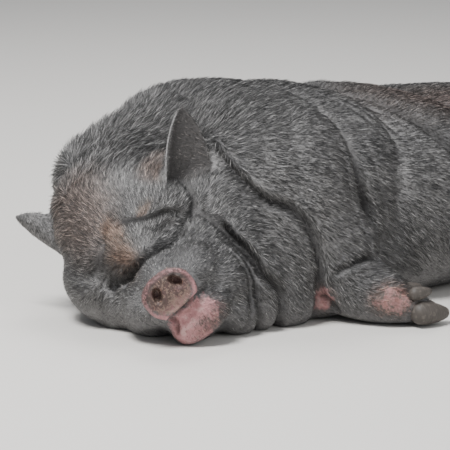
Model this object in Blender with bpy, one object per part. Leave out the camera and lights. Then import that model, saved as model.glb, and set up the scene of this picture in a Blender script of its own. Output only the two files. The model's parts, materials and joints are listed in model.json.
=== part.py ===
"""A pot-bellied pig asleep on its belly, life size, its head laid on the floor and turned to its left.

Metres. +X points to the rump, -Y to the pig's left side, +Z up. The head has a frame of its own, with its
origin midway between the eyes, x to the pig's left, y to the back of the head and z to the crown.
"""

import math
import random

import bmesh
import bpy
import numpy as np
from mathutils import Euler, Matrix, Vector
from mathutils.bvhtree import BVHTree
from mathutils.kdtree import KDTree

# Driving dimensions of the body
SHOULDER_HEIGHT = 0.284
LOIN_HEIGHT = 0.237
BODY_HALF_WIDTH = 0.238
SPINE_Y = 0.055
RUMP_X = 0.82

# Driving dimensions of the head
EYES_AT = Vector((0.039, -0.052, 0.103))
HEAD_TURN = math.radians(31)
HEAD_ROLL = math.radians(39)
EYE_SPREAD = 0.055
SNOUT_REACH = 0.118
SNOUT_DROP = 0.038
SNOUT_WIDTH = 0.074
SNOUT_HEIGHT = 0.062
SNOUT_THICKNESS = 0.022
NOSTRIL_SPREAD = 0.0145
CHIN_DROP = 0.094
EAR_LENGTH = 0.116
EAR_THICKNESS = 0.005
EAR_SINK = 0.012

# Driving dimensions of the tail and the cuts across the trunk
TAIL_STATIONS = [(0.790, 0.055, 0.205, 0.016), (0.822, 0.060, 0.190, 0.013), (0.840, 0.072, 0.150, 0.010),
                 (0.846, 0.082, 0.110, 0.008), (0.848, 0.086, 0.085, 0.006)]
TASSEL_LENGTH = 0.080
TASSEL_LOCKS = 16
LOCK_WIDTH = 0.0042
CLAW_RADIUS = 0.0160
EARS = (
    ("ear_left", ((0.081, 0.030, 0.038), (0.153, 0.036, 0.108)), (0.43, -0.80, -0.34), 0.052, 1.3, -0.008),
    ("ear_right", ((-0.086, 0.046, 0.050), (-0.123, 0.098, 0.122)), (0.50, 0.80, 0.10), 0.048, 2.1, 0.010),
)
FORE_SPUR = (-0.008, 0, 0.026), (0.022, 0, 0)
HIND_SPUR = (0.030, 0, 0.016), (-0.012, 0, 0.002)
FEET = (
    ("foreleg_left", (0.334, -0.236, 0.019), (0.368, -0.241, 0.015), (0.14, 0.99, 0), FORE_SPUR),
    ("foreleg_right", (0.334, 0.346, 0.019), (0.368, 0.351, 0.015), (-0.14, 0.99, 0), FORE_SPUR),
    ("hindleg_left", (0.568, -0.209, 0.017), (0.530, -0.212, 0.014), (0, 1, 0), HIND_SPUR),
    ("hindleg_right", (0.568, 0.319, 0.017), (0.530, 0.322, 0.014), (0, 1, 0), HIND_SPUR),
)
TRUNK_CUTS = (-1, 0.200, 0.327, 0.500, 2)

# How the solids are made
TRUNK_VOXEL = 0.0055
HEAD_VOXEL = 0.0036
LEG_VOXEL = 0.0035
DETAIL_VOXEL = 0.0018
GAP = 0.0003
VALLEY = 0.010
FLOOR_DEPTH = 0.2
TRUNK_TRIANGLES = 3200
HEAD_TRIANGLES = 3200
JAW_TRIANGLES = 420
SNOUT_TRIANGLES = 520
LID_TRIANGLES = 220
LEG_TRIANGLES = 260
CLAW_TRIANGLES = 64
TAIL_TRIANGLES = 200
EAR_ROWS = (8, 9)

SKIN = ("skin", (0.13, 0.13, 0.135), 0.75)
PINK = ("bare_skin", (0.52, 0.33, 0.31), 0.6)
HORN = ("claw_horn", (0.16, 0.14, 0.12), 0.5)
HAIR = ("tail_hair", (0.10, 0.095, 0.09), 0.8)


def clear_scene():
    for old in list(bpy.data.objects):
        bpy.data.objects.remove(old)


def material(finish):
    name, colour, roughness = finish
    made = bpy.data.materials.get(name) or bpy.data.materials.new(name)
    made.use_nodes = True
    shader = made.node_tree.nodes["Principled BSDF"]
    shader.inputs["Base Color"].default_value = (*colour, 1)
    shader.inputs["Roughness"].default_value = roughness
    return made


def head_frame():
    """The head's axes: turned to the pig's left, then rolled on to the right cheek."""
    back = Vector((math.sin(HEAD_TURN), math.cos(HEAD_TURN), 0))
    side = Vector((math.cos(HEAD_TURN), -math.sin(HEAD_TURN), 0))
    up = Vector((0, 0, 1))
    left = side * math.cos(HEAD_ROLL) + up * math.sin(HEAD_ROLL)
    crown = up * math.cos(HEAD_ROLL) - side * math.sin(HEAD_ROLL)
    axes = Matrix((left, back, crown)).transposed().to_4x4()
    return Matrix.Translation(EYES_AT) @ axes


BODY = Matrix.Identity(4)
HEAD = head_frame()


def object_of(bm, name, finish):
    mesh = bpy.data.meshes.new(name)
    bm.to_mesh(mesh)
    bm.free()
    mesh.materials.append(material(finish))
    made = bpy.data.objects.new(name, mesh)
    bpy.context.scene.collection.objects.link(made)
    return made


def bake(obj):
    """Applies the modifiers."""
    graph = bpy.context.evaluated_depsgraph_get()
    graph.update()
    mesh = bpy.data.meshes.new_from_object(obj.evaluated_get(graph))
    obj.modifiers.clear()
    obj.data = mesh
    return obj


def smooth_path(points, steps):
    """Points along a Catmull-Rom curve through rows of numbers, such as a place and a radius."""
    rows = np.array(points, float)
    rows = np.vstack([2 * rows[0] - rows[1], rows, 2 * rows[-1] - rows[-2]])
    path = []
    for i in range(1, len(rows) - 2):
        a, b, c, d = rows[i - 1 : i + 3]
        for t in np.arange(steps) / steps:
            square = (2 * a - 5 * b + 4 * c - d) * t * t
            cube = (3 * b - a - 3 * c + d) * t**3
            path.append(0.5 * (2 * b + (c - a) * t + square + cube))
    return [*path, rows[-2]]


class Flesh:
    """Overlapping masses of flesh, kept as arrays until they are made one mesh."""

    def __init__(self):
        ball = bmesh.new()
        bmesh.ops.create_icosphere(ball, subdivisions=4, radius=1)
        self.ball = np.array([v.co for v in ball.verts])
        self.faces = np.array([[v.index for v in f.verts] for f in ball.faces])
        ball.free()
        self.places = []

    def mass(self, frame, centre, radii, turn=(0, 0, 0), squareness=2):
        """Adds one rounded mass, an ellipsoid or, with more squareness, a fuller one."""
        tilt = Euler([math.radians(a) for a in turn]).to_matrix().to_4x4()
        place = np.array(frame @ Matrix.Translation(centre) @ tilt @ Matrix.Diagonal((*radii, 1)))
        swell = (np.abs(self.ball) ** squareness).sum(axis=1) ** (-1 / squareness)
        self.places.append((self.ball * swell[:, None]) @ place[:3, :3].T + place[:3, 3])

    def roll(self, frame, stations, steps=6):
        """Adds a long round mass, such as a fat roll or a leg, from stations of x, y, z and radius."""
        for x, y, z, radius in smooth_path(stations, steps):
            self.mass(frame, (x, y, z), (radius,) * 3)

    def made(self, name, finish):
        """One mesh object of all the masses."""
        index = np.arange(len(self.places))[:, None, None] * len(self.ball) + self.faces[None]
        mesh = bpy.data.meshes.new(name)
        mesh.from_pydata(np.concatenate(self.places).tolist(), [], index.reshape(-1, 3).tolist())
        mesh.materials.append(material(finish))
        made = bpy.data.objects.new(name, mesh)
        bpy.context.scene.collection.objects.link(made)
        return made


def fuse(obj, voxel):
    """Makes overlapping masses one skin."""
    remesh = obj.modifiers.new("Fuse", "REMESH")
    remesh.mode = "VOXEL"
    remesh.voxel_size = voxel
    return bake(obj)


def soften(obj, rounds):
    """Softens the valleys between masses and the edges of creases."""
    smooth = obj.modifiers.new("Soften", "SMOOTH")
    smooth.factor = 0.5
    smooth.iterations = rounds
    return bake(obj)


def push(obj, distance):
    """Moves the skin out along its normals."""
    places = [v.co + v.normal * distance for v in obj.data.vertices]
    for v, place in zip(obj.data.vertices, places):
        v.co = place


def fill_valleys(obj, voxel):
    """Fills the narrow valleys between fused masses."""
    push(obj, VALLEY)
    fuse(obj, voxel)
    soften(obj, 3)
    push(obj, -VALLEY)
    return soften(obj, 1)


def thin_out(obj, triangles):
    """Leaves about that many triangles, most of them where the shape bends."""
    bm = bmesh.new()
    bm.from_mesh(obj.data)
    bmesh.ops.triangulate(bm, faces=bm.faces)
    bm.to_mesh(obj.data)
    count = len(bm.faces)
    bm.free()
    if count > triangles:
        collapse = obj.modifiers.new("Thin", "DECIMATE")
        collapse.ratio = triangles / count
        bake(obj)
    return obj


def laid(skin, route):
    """The route with each point moved to the nearest place on the skin."""
    return np.array([skin.find_nearest(Vector(p))[0] for p in route])


def eased(route, reach=6):
    """A route with its small zigzags averaged away and its ends kept."""
    padded = np.concatenate([np.repeat(route[:1], reach, 0), route, np.repeat(route[-1:], reach, 0)])
    sums = [padded[i:i + len(route)] for i in range(2 * reach + 1)]
    return sum(sums) / len(sums)


def carve(obj, frame, stations, width, depth, steps=36):
    """Presses a crease into the skin along a route of x, y, z laid on it, with a low swelling beside it."""
    skin = BVHTree.FromObject(obj, bpy.context.evaluated_depsgraph_get())
    route = laid(skin, [frame @ Vector(p) for p in smooth_path(stations, steps)])
    for _ in range(3):
        route = laid(skin, eased(route))
    tree = KDTree(len(route))
    for i, p in enumerate(route):
        tree.insert(p, i)
    tree.balance()
    for v in obj.data.vertices:
        away, i, gap = tree.find(v.co)
        gap /= width
        if gap < 3:
            fade = math.sin(math.pi * (i + 1) / (len(route) + 1)) ** 0.5
            v.co -= v.normal * depth * fade * (math.exp(-gap * gap) - 0.25 * math.exp(-((gap - 1.6) ** 2)))


def boolean(obj, cutter, operation, solver="EXACT"):
    cut = obj.modifiers.new("Cut", "BOOLEAN")
    cut.operation = operation
    cut.solver = solver
    cut.object = cutter
    return bake(obj)


def swollen(obj, gap):
    """A copy whose skin stands out by the gap."""
    copy = obj.copy()
    copy.data = obj.data.copy()
    bpy.context.scene.collection.objects.link(copy)
    grow = copy.modifiers.new("Grow", "DISPLACE")
    grow.strength = gap
    grow.mid_level = 0
    return bake(copy)


def trim(obj, neighbour):
    """Cuts the object back to face its neighbour across the gap."""
    cutter = swollen(neighbour, GAP)
    boolean(obj, cutter, "DIFFERENCE")
    bpy.data.objects.remove(cutter)
    return obj


def keep_largest(obj):
    """Drops any scrap that a cut left loose."""
    bm = bmesh.new()
    bm.from_mesh(obj.data)
    bmesh.ops.remove_doubles(bm, verts=bm.verts, dist=1e-6)
    unseen = set(bm.faces)
    largest = set()
    while unseen:
        island, edge = set(), [next(iter(unseen))]
        while edge:
            face = edge.pop()
            if face in island:
                continue
            island.add(face)
            edge.extend(f for e in face.edges for f in e.link_faces if f not in island)
        unseen -= island
        largest = max(largest, island, key=len)
    bmesh.ops.delete(bm, geom=[f for f in bm.faces if f not in largest], context="FACES")
    bmesh.ops.triangulate(bm, faces=bm.faces)
    bm.to_mesh(obj.data)
    bm.free()
    return obj


def box(low, high, frame=BODY):
    bm = bmesh.new()
    size = [b - a for a, b in zip(low, high)]
    centre = [(a + b) / 2 for a, b in zip(low, high)]
    place = frame @ Matrix.Translation(centre) @ Matrix.Diagonal((*size, 1))
    bmesh.ops.create_cube(bm, size=1, matrix=place)
    return object_of(bm, "cutter", SKIN)


def stand_on_floor(obj):
    """Flattens the underside where the pig rests."""
    slab = box((-1, -1, -FLOOR_DEPTH), (2, 1, 0))
    boolean(obj, slab, "DIFFERENCE")
    bpy.data.objects.remove(slab)
    return obj


def trunk_masses(flesh):
    """Neck, shoulders, belly and hips of a fat animal at rest."""
    y = SPINE_Y
    half = BODY_HALF_WIDTH
    full = 2.5
    flesh.mass(BODY, (0.175, 0.070, 0.134), (0.130, 0.130, 0.136))
    flesh.mass(BODY, (0.160, 0.122, 0.120), (0.110, 0.100, 0.120))
    flesh.mass(BODY, (0.120, 0.082, 0.173), (0.090, 0.090, 0.082))
    flesh.mass(BODY, (0.085, 0.105, 0.160), (0.075, 0.075, 0.070))
    flesh.mass(BODY, (0.245, y, 0.140), (0.135, half * 0.90, SHOULDER_HEIGHT - 0.140), squareness=full)
    flesh.mass(BODY, (0.330, y, 0.135), (0.130, half * 0.90, 0.139), squareness=full)
    flesh.mass(BODY, (0.420, y, 0.125), (0.230, half * 0.90, 0.129), squareness=full)
    flesh.mass(BODY, (0.455, y, 0.120), (0.150, half * 0.99, 0.133), (0, -8, 0), squareness=full)
    flesh.mass(BODY, (0.625, y, 0.122), (RUMP_X - 0.625, half * 0.93, LOIN_HEIGHT - 0.122), squareness=full)
    flesh.mass(BODY, (0.430, y, 0.070), (0.320, half * 0.90, 0.090), squareness=full)


def neck_rolls(flesh):
    """Fat rolls that the bent neck presses up on its left side."""
    flesh.roll(BODY, [(0.190, 0.000, 0.200, 0.060), (0.202, -0.070, 0.175, 0.058),
                      (0.212, -0.118, 0.110, 0.055), (0.204, -0.122, 0.040, 0.053)])
    flesh.roll(BODY, [(0.140, -0.035, 0.175, 0.045), (0.155, -0.082, 0.145, 0.045),
                      (0.163, -0.122, 0.090, 0.043), (0.158, -0.130, 0.035, 0.040)])


def shoulder_masses(flesh):
    """Shoulder, upper arm and armpit on each side."""
    y = SPINE_Y
    for side in (-1, 1):
        flesh.mass(BODY, (0.250, y + side * 0.120, 0.125), (0.088, 0.110, 0.146), (side * -6, 8, 0))
        flesh.mass(BODY, (0.262, y + side * 0.180, 0.040), (0.055, 0.048, 0.046))
        flesh.mass(BODY, (0.247, y + side * 0.206, 0.036), (0.019, 0.020, 0.017))
        flesh.roll(BODY, [(0.258, y + side * 0.165, 0.120, 0.070), (0.275, y + side * 0.188, 0.085, 0.062)])


def thigh_masses(flesh):
    """Thighs folded flat against the belly."""
    for side in (-1, 1):
        flesh.mass(BODY, (0.640, SPINE_Y + side * 0.155, 0.110), (0.125, 0.092, 0.110), (side * 8, -14, 0))


def jowl_crease(obj):
    """The deep fold where the left cheek lies on the neck."""
    carve(obj, BODY, [(0.085, -0.085, 0.160), (0.119, -0.105, 0.132), (0.140, -0.115, 0.107),
                      (0.155, -0.125, 0.082), (0.168, -0.13, 0.045), (0.178, -0.13, 0.002)], 0.008, 0.011)


def trunk_creases(body):
    """The folds between neck, shoulder, elbow, belly and hip."""
    y = SPINE_Y
    carve(body, BODY, [(0.185, -0.03, 0.205), (0.194, -0.085, 0.168), (0.208, -0.125, 0.138),
                       (0.220, -0.145, 0.112), (0.231, -0.155, 0.070), (0.228, -0.155, 0.005)], 0.009, 0.009)
    jowl_crease(body)
    for side in (-1, 1):
        carve(body, BODY, [(0.306, y + side * 0.12, 0.26), (0.302, y + side * 0.17, 0.205),
                           (0.312, y + side * 0.21, 0.155), (0.326, y + side * 0.235, 0.105),
                           (0.330, y + side * 0.24, 0.070), (0.334, y + side * 0.25, 0.040)], 0.010, 0.013)
        carve(body, BODY, [(0.430, y, 0.27), (0.448, y + side * 0.11, 0.24), (0.468, y + side * 0.19, 0.19),
                           (0.515, y + side * 0.23, 0.13), (0.545, y + side * 0.235, 0.07)], 0.012, 0.014)


def trunk():
    flesh = Flesh()
    trunk_masses(flesh)
    neck_rolls(flesh)
    shoulder_masses(flesh)
    thigh_masses(flesh)
    body = fuse(flesh.made("trunk", SKIN), TRUNK_VOXEL)
    fill_valleys(body, TRUNK_VOXEL)
    trunk_creases(body)
    soften(body, 1)
    thin_out(body, TRUNK_TRIANGLES)
    return stand_on_floor(body)


def head_creases(skull):
    """The folds round the eyes, across the nose and below the left ear."""
    carve(skull, HEAD, [(-0.066, -0.01, -0.004), (-0.030, -0.03, -0.010), (0, -0.04, -0.012),
                        (0.030, -0.03, -0.006), (0.066, -0.01, 0.000)], 0.0065, 0.011)
    carve(skull, HEAD, [(-0.010, -0.03, 0.064), (0.019, -0.035, 0.049), (0.045, -0.03, 0.030),
                        (0.068, -0.015, 0.008)], 0.0055, 0.0055)
    carve(skull, HEAD, [(0.074, 0.032, 0.036), (0.082, 0.020, 0.022), (0.080, 0.0, 0.004),
                        (0.066, -0.012, -0.002)], 0.0065, 0.009)
    carve(skull, HEAD, [(-0.030, -0.03, 0.050), (-0.055, -0.02, 0.030), (-0.075, 0.0, 0.005)], 0.0070, 0.003)


def head_masses(flesh):
    """Skull, brow, jowls and muzzle, in the head's frame."""
    flesh.mass(HEAD, (-0.005, 0.080, 0.010), (0.105, 0.085, 0.088))
    flesh.mass(HEAD, (-0.005, 0.062, 0.050), (0.092, 0.070, 0.066))
    flesh.mass(HEAD, (-0.010, 0.088, 0.074), (0.078, 0.060, 0.053))
    flesh.mass(HEAD, (0, 0.006, 0.030), (0.050, 0.042, 0.042))
    flesh.mass(HEAD, (0.078, 0.048, 0.058), (0.024, 0.024, 0.028))
    flesh.roll(HEAD, [(0.060, 0.034, 0.066, 0.019), (0.078, 0.036, 0.066, 0.015),
                      (0.094, 0.036, 0.070, 0.009)])
    flesh.mass(HEAD, (-0.012, -0.002, 0.022), (0.046, 0.042, 0.036))
    flesh.roll(HEAD, [(0, 0.010, -0.035, 0.050), (0, -0.055, -0.038, 0.041), (0, -0.082, -SNOUT_DROP, 0.034)])
    flesh.mass(HEAD, (0, 0.030, -0.080), (0.050, 0.055, 0.050))
    for side in (-1, 1):
        flesh.roll(HEAD, [(side * 0.026, 0.024, 0.056, 0.036), (side * 0.054, 0.014, 0.036, 0.032),
                          (side * 0.078, 0.020, 0.012, 0.024)])
        flesh.roll(HEAD, [(side * 0.030, -0.026, -0.032, 0.026), (side * 0.066, 0.000, -0.034, 0.030)])
        flesh.roll(HEAD, [(side * 0.026, -0.086, -0.056, 0.015), (side * 0.040, -0.040, -0.070, 0.020)])
        flesh.mass(HEAD, (side * 0.036, -0.046, -0.045), (0.036, 0.052, 0.034))
        flesh.mass(HEAD, (side * 0.060, 0.038, -0.035), (0.056, 0.062, 0.058))
        flesh.mass(HEAD, (side * 0.044, 0.000, -0.065), (0.040, 0.060, 0.042))
    flesh.mass(HEAD, (0.060, 0.030, -0.105), (0.052, 0.070, 0.062))
    flesh.mass(HEAD, (0.042, -0.014, -0.122), (0.038, 0.055, 0.045))
    flesh.mass(HEAD, (0.055, -0.025, -0.085), (0.038, 0.050, 0.045))
    flesh.mass(HEAD, (-0.080, 0.040, -0.005), (0.044, 0.060, 0.056))


def head():
    flesh = Flesh()
    head_masses(flesh)
    skull = fuse(flesh.made("head", SKIN), HEAD_VOXEL)
    fill_valleys(skull, HEAD_VOXEL)
    head_creases(skull)
    jowl_crease(skull)
    soften(skull, 1)
    thin_out(skull, HEAD_TRIANGLES)
    return stand_on_floor(skull)


def snout():
    """The flat rooting disc with its two nostrils."""
    half = SNOUT_THICKNESS / 2
    flesh = Flesh()
    radii = (SNOUT_WIDTH / 2, half, SNOUT_HEIGHT / 2)
    flesh.mass(HEAD, (0, half - SNOUT_REACH, -SNOUT_DROP), radii, squareness=2.5)
    disc = soften(fuse(flesh.made("snout", PINK), DETAIL_VOXEL), 1)
    for side in (-1, 1):
        pit = Flesh()
        place = (0.002 + side * NOSTRIL_SPREAD, -SNOUT_REACH, -SNOUT_DROP + 0.009)
        pit.mass(HEAD, place, (0.0058, 0.011, 0.0088), (0, side * 24, 0))
        cutter = pit.made("pit", SKIN)
        boolean(disc, cutter, "DIFFERENCE")
        bpy.data.objects.remove(cutter)
    return thin_out(disc, SNOUT_TRIANGLES)


def jaw():
    """The lower jaw, with the bare lip and chin in front."""
    flesh = Flesh()
    flesh.roll(HEAD, [(0, 0.000, -0.090, 0.042), (0, -0.040, -0.095, 0.037),
                      (0.002, -0.072, -CHIN_DROP, 0.026)])
    flesh.mass(HEAD, (0.006, -0.076, -CHIN_DROP), (0.043, 0.031, 0.026), squareness=2.5)
    made = soften(fuse(flesh.made("jaw", PINK), HEAD_VOXEL), 2)
    carve(made, HEAD, [(-0.034, -0.10, -0.086), (-0.021, -0.115, -0.073), (0, -0.12, -0.070),
                       (0.024, -0.115, -0.068), (0.046, -0.09, -0.068)], 0.0040, 0.005)
    thin_out(made, JAW_TRIANGLES)
    return stand_on_floor(made)


def ear(name, root, tip, opening, half_width, bend, curl):
    """A cupped leaf of skin, wide at its root and drawn to a point."""
    along = (Vector(tip) - Vector(root)).normalized()
    out = Vector(opening)
    out = (out - along * out.dot(along)).normalized()
    across = along.cross(out)
    bm = bmesh.new()
    bmesh.ops.create_grid(bm, x_segments=EAR_ROWS[0], y_segments=EAR_ROWS[1], size=0.5)
    for v in bm.verts:
        u = v.co.y + 0.5
        side = v.co.x * 2
        half = half_width * 1.20 * (1 - u * 0.985) ** 0.85 * (0.74 + 0.95 * u)
        turn = bend * (1 - 0.55 * u)
        wide = half * math.sin(turn * side) / turn
        deep = half * (1 - math.cos(turn * side)) / turn
        place = Vector(root) + along * (u * EAR_LENGTH - EAR_SINK)
        v.co = HEAD @ (place + across * wide + out * (deep + curl * u * u))
    bmesh.ops.recalc_face_normals(bm, faces=bm.faces)
    leaf = object_of(bm, name, SKIN)
    shell = leaf.modifiers.new("Skin", "SOLIDIFY")
    shell.thickness = EAR_THICKNESS
    shell.offset = 0
    return bake(leaf)


def eyelids(name, side):
    """The closed lids of one sunken eye, with the slit between them."""
    place = Vector((side * EYE_SPREAD, -0.013, 0.0))
    flesh = Flesh()
    flesh.mass(HEAD, place, (0.014, 0.012, 0.010), (0, side * 25, 0))
    lids = flesh.made(name, SKIN)
    slit = [place + Vector((side * x, -0.012, -0.4 * x)) for x in (-0.014, 0, 0.014)]
    carve(lids, HEAD, slit, 0.0020, 0.0020)
    return thin_out(lids, LID_TRIANGLES)


def leg(name, *rolls):
    """One leg of rolls given as stations of x, y, z and radius."""
    flesh = Flesh()
    for stations in rolls:
        flesh.roll(BODY, stations)
    made = soften(fuse(flesh.made(name, SKIN), LEG_VOXEL), 2)
    thin_out(made, LEG_TRIANGLES)
    return stand_on_floor(made)


def foreleg(name, side):
    """Forearm, knee and foot of one foreleg, the foot turned back beside the chest."""
    y = SPINE_Y
    forearm = [(0.272, y + side * 0.195, 0.075, 0.056), (0.285, y + side * 0.220, 0.050, 0.048),
               (0.298, y + side * 0.245, 0.038, 0.040), (0.308, y + side * 0.266, 0.033, 0.034)]
    pastern = [(0.308, y + side * 0.268, 0.030, 0.030), (0.322, y + side * 0.283, 0.026, 0.025),
               (0.338, y + side * 0.291, 0.022, 0.020)]
    return leg(name, forearm, pastern)


def hindleg(name, side):
    """Hock and foot of one hind leg, laid forward beside the belly."""
    y = SPINE_Y
    return leg(name, [(0.745, y + side * 0.190, 0.060, 0.045), (0.700, y + side * 0.235, 0.035, 0.033),
                      (0.650, y + side * 0.255, 0.024, 0.023), (0.600, y + side * 0.262, 0.019, 0.018),
                      (0.575, y + side * 0.264, 0.018, 0.017)])


def claw(name, heel, toe, radius):
    """One blunt wedge of horn."""
    heel, toe = Vector(heel), Vector(toe)
    flesh = Flesh()
    for t in (0, 0.35, 0.7, 1):
        size = radius * (1 - 0.45 * t * t)
        flesh.mass(BODY, heel + (toe - heel) * t, (size, size, size * 1.05))
    made = soften(fuse(flesh.made(name, HORN), DETAIL_VOXEL), 1)
    thin_out(made, CLAW_TRIANGLES)
    return stand_on_floor(made)


def feet():
    """Two main claws and two dewclaws on each foot."""
    made = []
    for name, pastern, toe, across, (spur, spur_way) in FEET:
        pastern, toe, across = Vector(pastern), Vector(toe), Vector(across)
        for i, side in enumerate((-1, 1)):
            heel = pastern + across * side * CLAW_RADIUS
            tip = toe + across * side * CLAW_RADIUS * 0.9
            made.append(claw(f"{name}_claw_{i + 1}", heel, tip, CLAW_RADIUS * 0.93))
            heel = pastern + Vector(spur) + across * side * CLAW_RADIUS * 0.8
            made.append(claw(f"{name}_dewclaw_{i + 1}", heel, heel + Vector(spur_way), CLAW_RADIUS * 0.55))
    return made


def lock(root, tip, width, sag):
    """One flat tapered lock of hair that bends as it hangs."""
    along = tip - root
    across = along.cross(Vector((0.3, 1, 0.2))).normalized()
    flat = along.cross(across).normalized()
    bm = bmesh.new()
    rings = []
    for t in (0, 0.3, 0.6, 0.85, 1):
        middle = root + along * t + sag * math.sin(math.pi * t)
        wide = width * (1 - 0.85 * t)
        thick = wide * 0.4
        corners = (across * wide, flat * thick, -across * wide, -flat * thick)
        rings.append([bm.verts.new(middle + c) for c in corners])
    for a, b in zip(rings, rings[1:]):
        for i in range(4):
            bm.faces.new((a[i], a[(i + 1) % 4], b[(i + 1) % 4], b[i]))
    bm.faces.new(rings[0][::-1])
    bm.faces.new(rings[-1])
    bmesh.ops.recalc_face_normals(bm, faces=bm.faces)
    bmesh.ops.triangulate(bm, faces=bm.faces)
    return object_of(bm, "lock", HAIR)


def tassel(name):
    """The brush at the tail's end: a short core with long locks that hang round it."""
    rng = random.Random(7)
    x, y, z, radius = TAIL_STATIONS[-1]
    end = Vector((x, y, z))
    flesh = Flesh()
    flesh.roll(BODY, [(x, y, z - 0.004, radius * 1.15), (x + 0.003, y + 0.002, z - 0.022, 0.0065),
                      (x + 0.004, y + 0.003, z - 0.036, 0.003)])
    core = soften(fuse(flesh.made(name, HAIR), DETAIL_VOXEL), 2)
    thin_out(core, TAIL_TRIANGLES)
    locks = bpy.data.collections.new("locks")
    bpy.context.scene.collection.children.link(locks)
    for i in range(TASSEL_LOCKS):
        angle = i * math.radians(137.5)
        out = Vector((math.cos(angle), math.sin(angle), 0))
        level = i / TASSEL_LOCKS
        root = end + out * 0.0025 - Vector((0, 0, 0.004 + 0.022 * level))
        reach = TASSEL_LENGTH * rng.uniform(0.62, 1.0)
        tip = end + out * rng.uniform(0.004, 0.012) - Vector((-0.004, 0, reach))
        made = lock(root, tip, LOCK_WIDTH * rng.uniform(0.8, 1.15), out * rng.uniform(0.002, 0.006))
        locks.objects.link(made)
    join = core.modifiers.new("Join", "BOOLEAN")
    join.operation = "UNION"
    join.solver = "EXACT"
    join.operand_type = "COLLECTION"
    join.collection = locks
    bake(core)
    for made in list(locks.objects):
        bpy.data.objects.remove(made)
    bpy.data.collections.remove(locks)
    return core


def tail(name):
    """The straight tail, hanging over the rump."""
    flesh = Flesh()
    flesh.roll(BODY, TAIL_STATIONS)
    made = soften(fuse(flesh.made(name, SKIN), DETAIL_VOXEL * 1.5), 2)
    return thin_out(made, TAIL_TRIANGLES)


def cut_across(obj, low, high, name):
    """The stretch of the trunk between two places along X."""
    piece = obj.copy()
    piece.data = obj.data.copy()
    piece.name = name
    bpy.context.scene.collection.objects.link(piece)
    block = box((low + GAP / 2, -1, -1), (high - GAP / 2, 1, 1))
    boolean(piece, block, "INTERSECT", "MANIFOLD")
    bpy.data.objects.remove(block)
    return keep_largest(piece)


def centre_on_floor():
    """Puts the origin under the middle of the whole."""
    places = np.array([v.co for obj in bpy.data.objects for v in obj.data.vertices])
    low, high = places.min(axis=0), places.max(axis=0)
    shift = Matrix.Translation((-(low[0] + high[0]) / 2, -(low[1] + high[1]) / 2, 0))
    for obj in bpy.data.objects:
        obj.data.transform(shift)
    return shift.translation


def main():
    clear_scene()
    body = trunk()
    skull = head()
    chin = jaw()
    disc = snout()
    lids = [eyelids("eyelids_left", 1), eyelids("eyelids_right", -1)]
    legs = [foreleg("foreleg_left", -1), foreleg("foreleg_right", 1)]
    legs += [hindleg("hindleg_left", -1), hindleg("hindleg_right", 1)]
    claws = feet()
    rod = tail("tail")
    brush = tassel("tail_tassel")
    flat = box((-0.3, -0.3, -0.3), (0.3, -SNOUT_REACH + SNOUT_THICKNESS, 0.3), HEAD)
    trim(skull, flat)
    bpy.data.objects.remove(flat)
    trim(chin, disc)
    trim(skull, disc)
    trim(skull, chin)
    for lid in lids:
        trim(skull, lid)
    names = ("neck", "forequarters", "belly", "hindquarters")
    neck, chest, belly, hips = (cut_across(body, *TRUNK_CUTS[i:i + 2], name) for i, name in enumerate(names))
    bpy.data.objects.remove(body)
    beside = (neck, (skull, chin)), (chest, (skull, chin, *legs[:2])), (belly, legs), (hips, (*legs[2:], rod))
    for piece, neighbours in beside:
        for neighbour in neighbours:
            trim(piece, neighbour)
    for leg, toes in zip(legs, (claws[:4], claws[4:8], claws[8:12], claws[12:])):
        for toe in toes:
            trim(leg, toe)
    trim(brush, rod)
    for name, place, turned, half_width, bend, curl in EARS:
        leaf = ear(name, *place, turned, half_width, bend, curl)
        trim(leaf, skull)
        trim(leaf, neck)
    for obj in bpy.data.objects:
        keep_largest(obj)
    return centre_on_floor()


main()
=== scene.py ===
"""Skin, coat, claws and stage for the sleeping pot-bellied pig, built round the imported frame.

Metres. +X points to the rump, -Y to the pig's left side, +Z up. Body places are measured from a
point on the floor below the face, which the frame's snout fixes. The head has axes of its own, with
the origin midway between the eyes, x to the pig's left, y to the back of the head, z to the crown.
"""

import json
import math
import random

import bmesh
import bpy
import numpy as np
from bpy.props import FloatProperty, FloatVectorProperty, PointerProperty
from mathutils import Euler, Matrix, Vector
from mathutils.bvhtree import BVHTree

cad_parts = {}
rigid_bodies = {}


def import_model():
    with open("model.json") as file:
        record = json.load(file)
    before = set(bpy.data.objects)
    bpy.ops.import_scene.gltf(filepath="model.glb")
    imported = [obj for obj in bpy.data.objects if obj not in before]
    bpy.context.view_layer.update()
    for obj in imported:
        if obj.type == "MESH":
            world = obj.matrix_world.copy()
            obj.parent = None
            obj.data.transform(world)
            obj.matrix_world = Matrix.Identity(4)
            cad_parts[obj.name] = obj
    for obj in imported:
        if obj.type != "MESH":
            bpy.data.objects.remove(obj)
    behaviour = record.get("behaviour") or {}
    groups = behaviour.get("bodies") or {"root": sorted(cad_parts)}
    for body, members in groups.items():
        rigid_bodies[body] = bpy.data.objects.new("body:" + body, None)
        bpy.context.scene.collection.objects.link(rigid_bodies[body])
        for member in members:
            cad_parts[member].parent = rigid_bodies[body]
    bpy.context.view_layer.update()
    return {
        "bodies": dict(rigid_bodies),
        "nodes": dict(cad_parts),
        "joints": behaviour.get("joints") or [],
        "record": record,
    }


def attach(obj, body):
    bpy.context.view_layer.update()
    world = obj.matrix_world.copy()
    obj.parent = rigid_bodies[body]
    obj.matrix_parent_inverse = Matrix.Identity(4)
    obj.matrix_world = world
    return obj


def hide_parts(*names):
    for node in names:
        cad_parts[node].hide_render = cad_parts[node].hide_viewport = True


bl_info = {
    "name": "Sleeping Pig",
    "version": (1, 0, 0),
    "blender": (4, 5, 0),
    "location": "3D View > Sidebar > Pig",
    "description": "Builds the skin, coat, claws and stage of a sleeping pot-bellied pig",
    "category": "Add Mesh",
}

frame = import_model()

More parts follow.
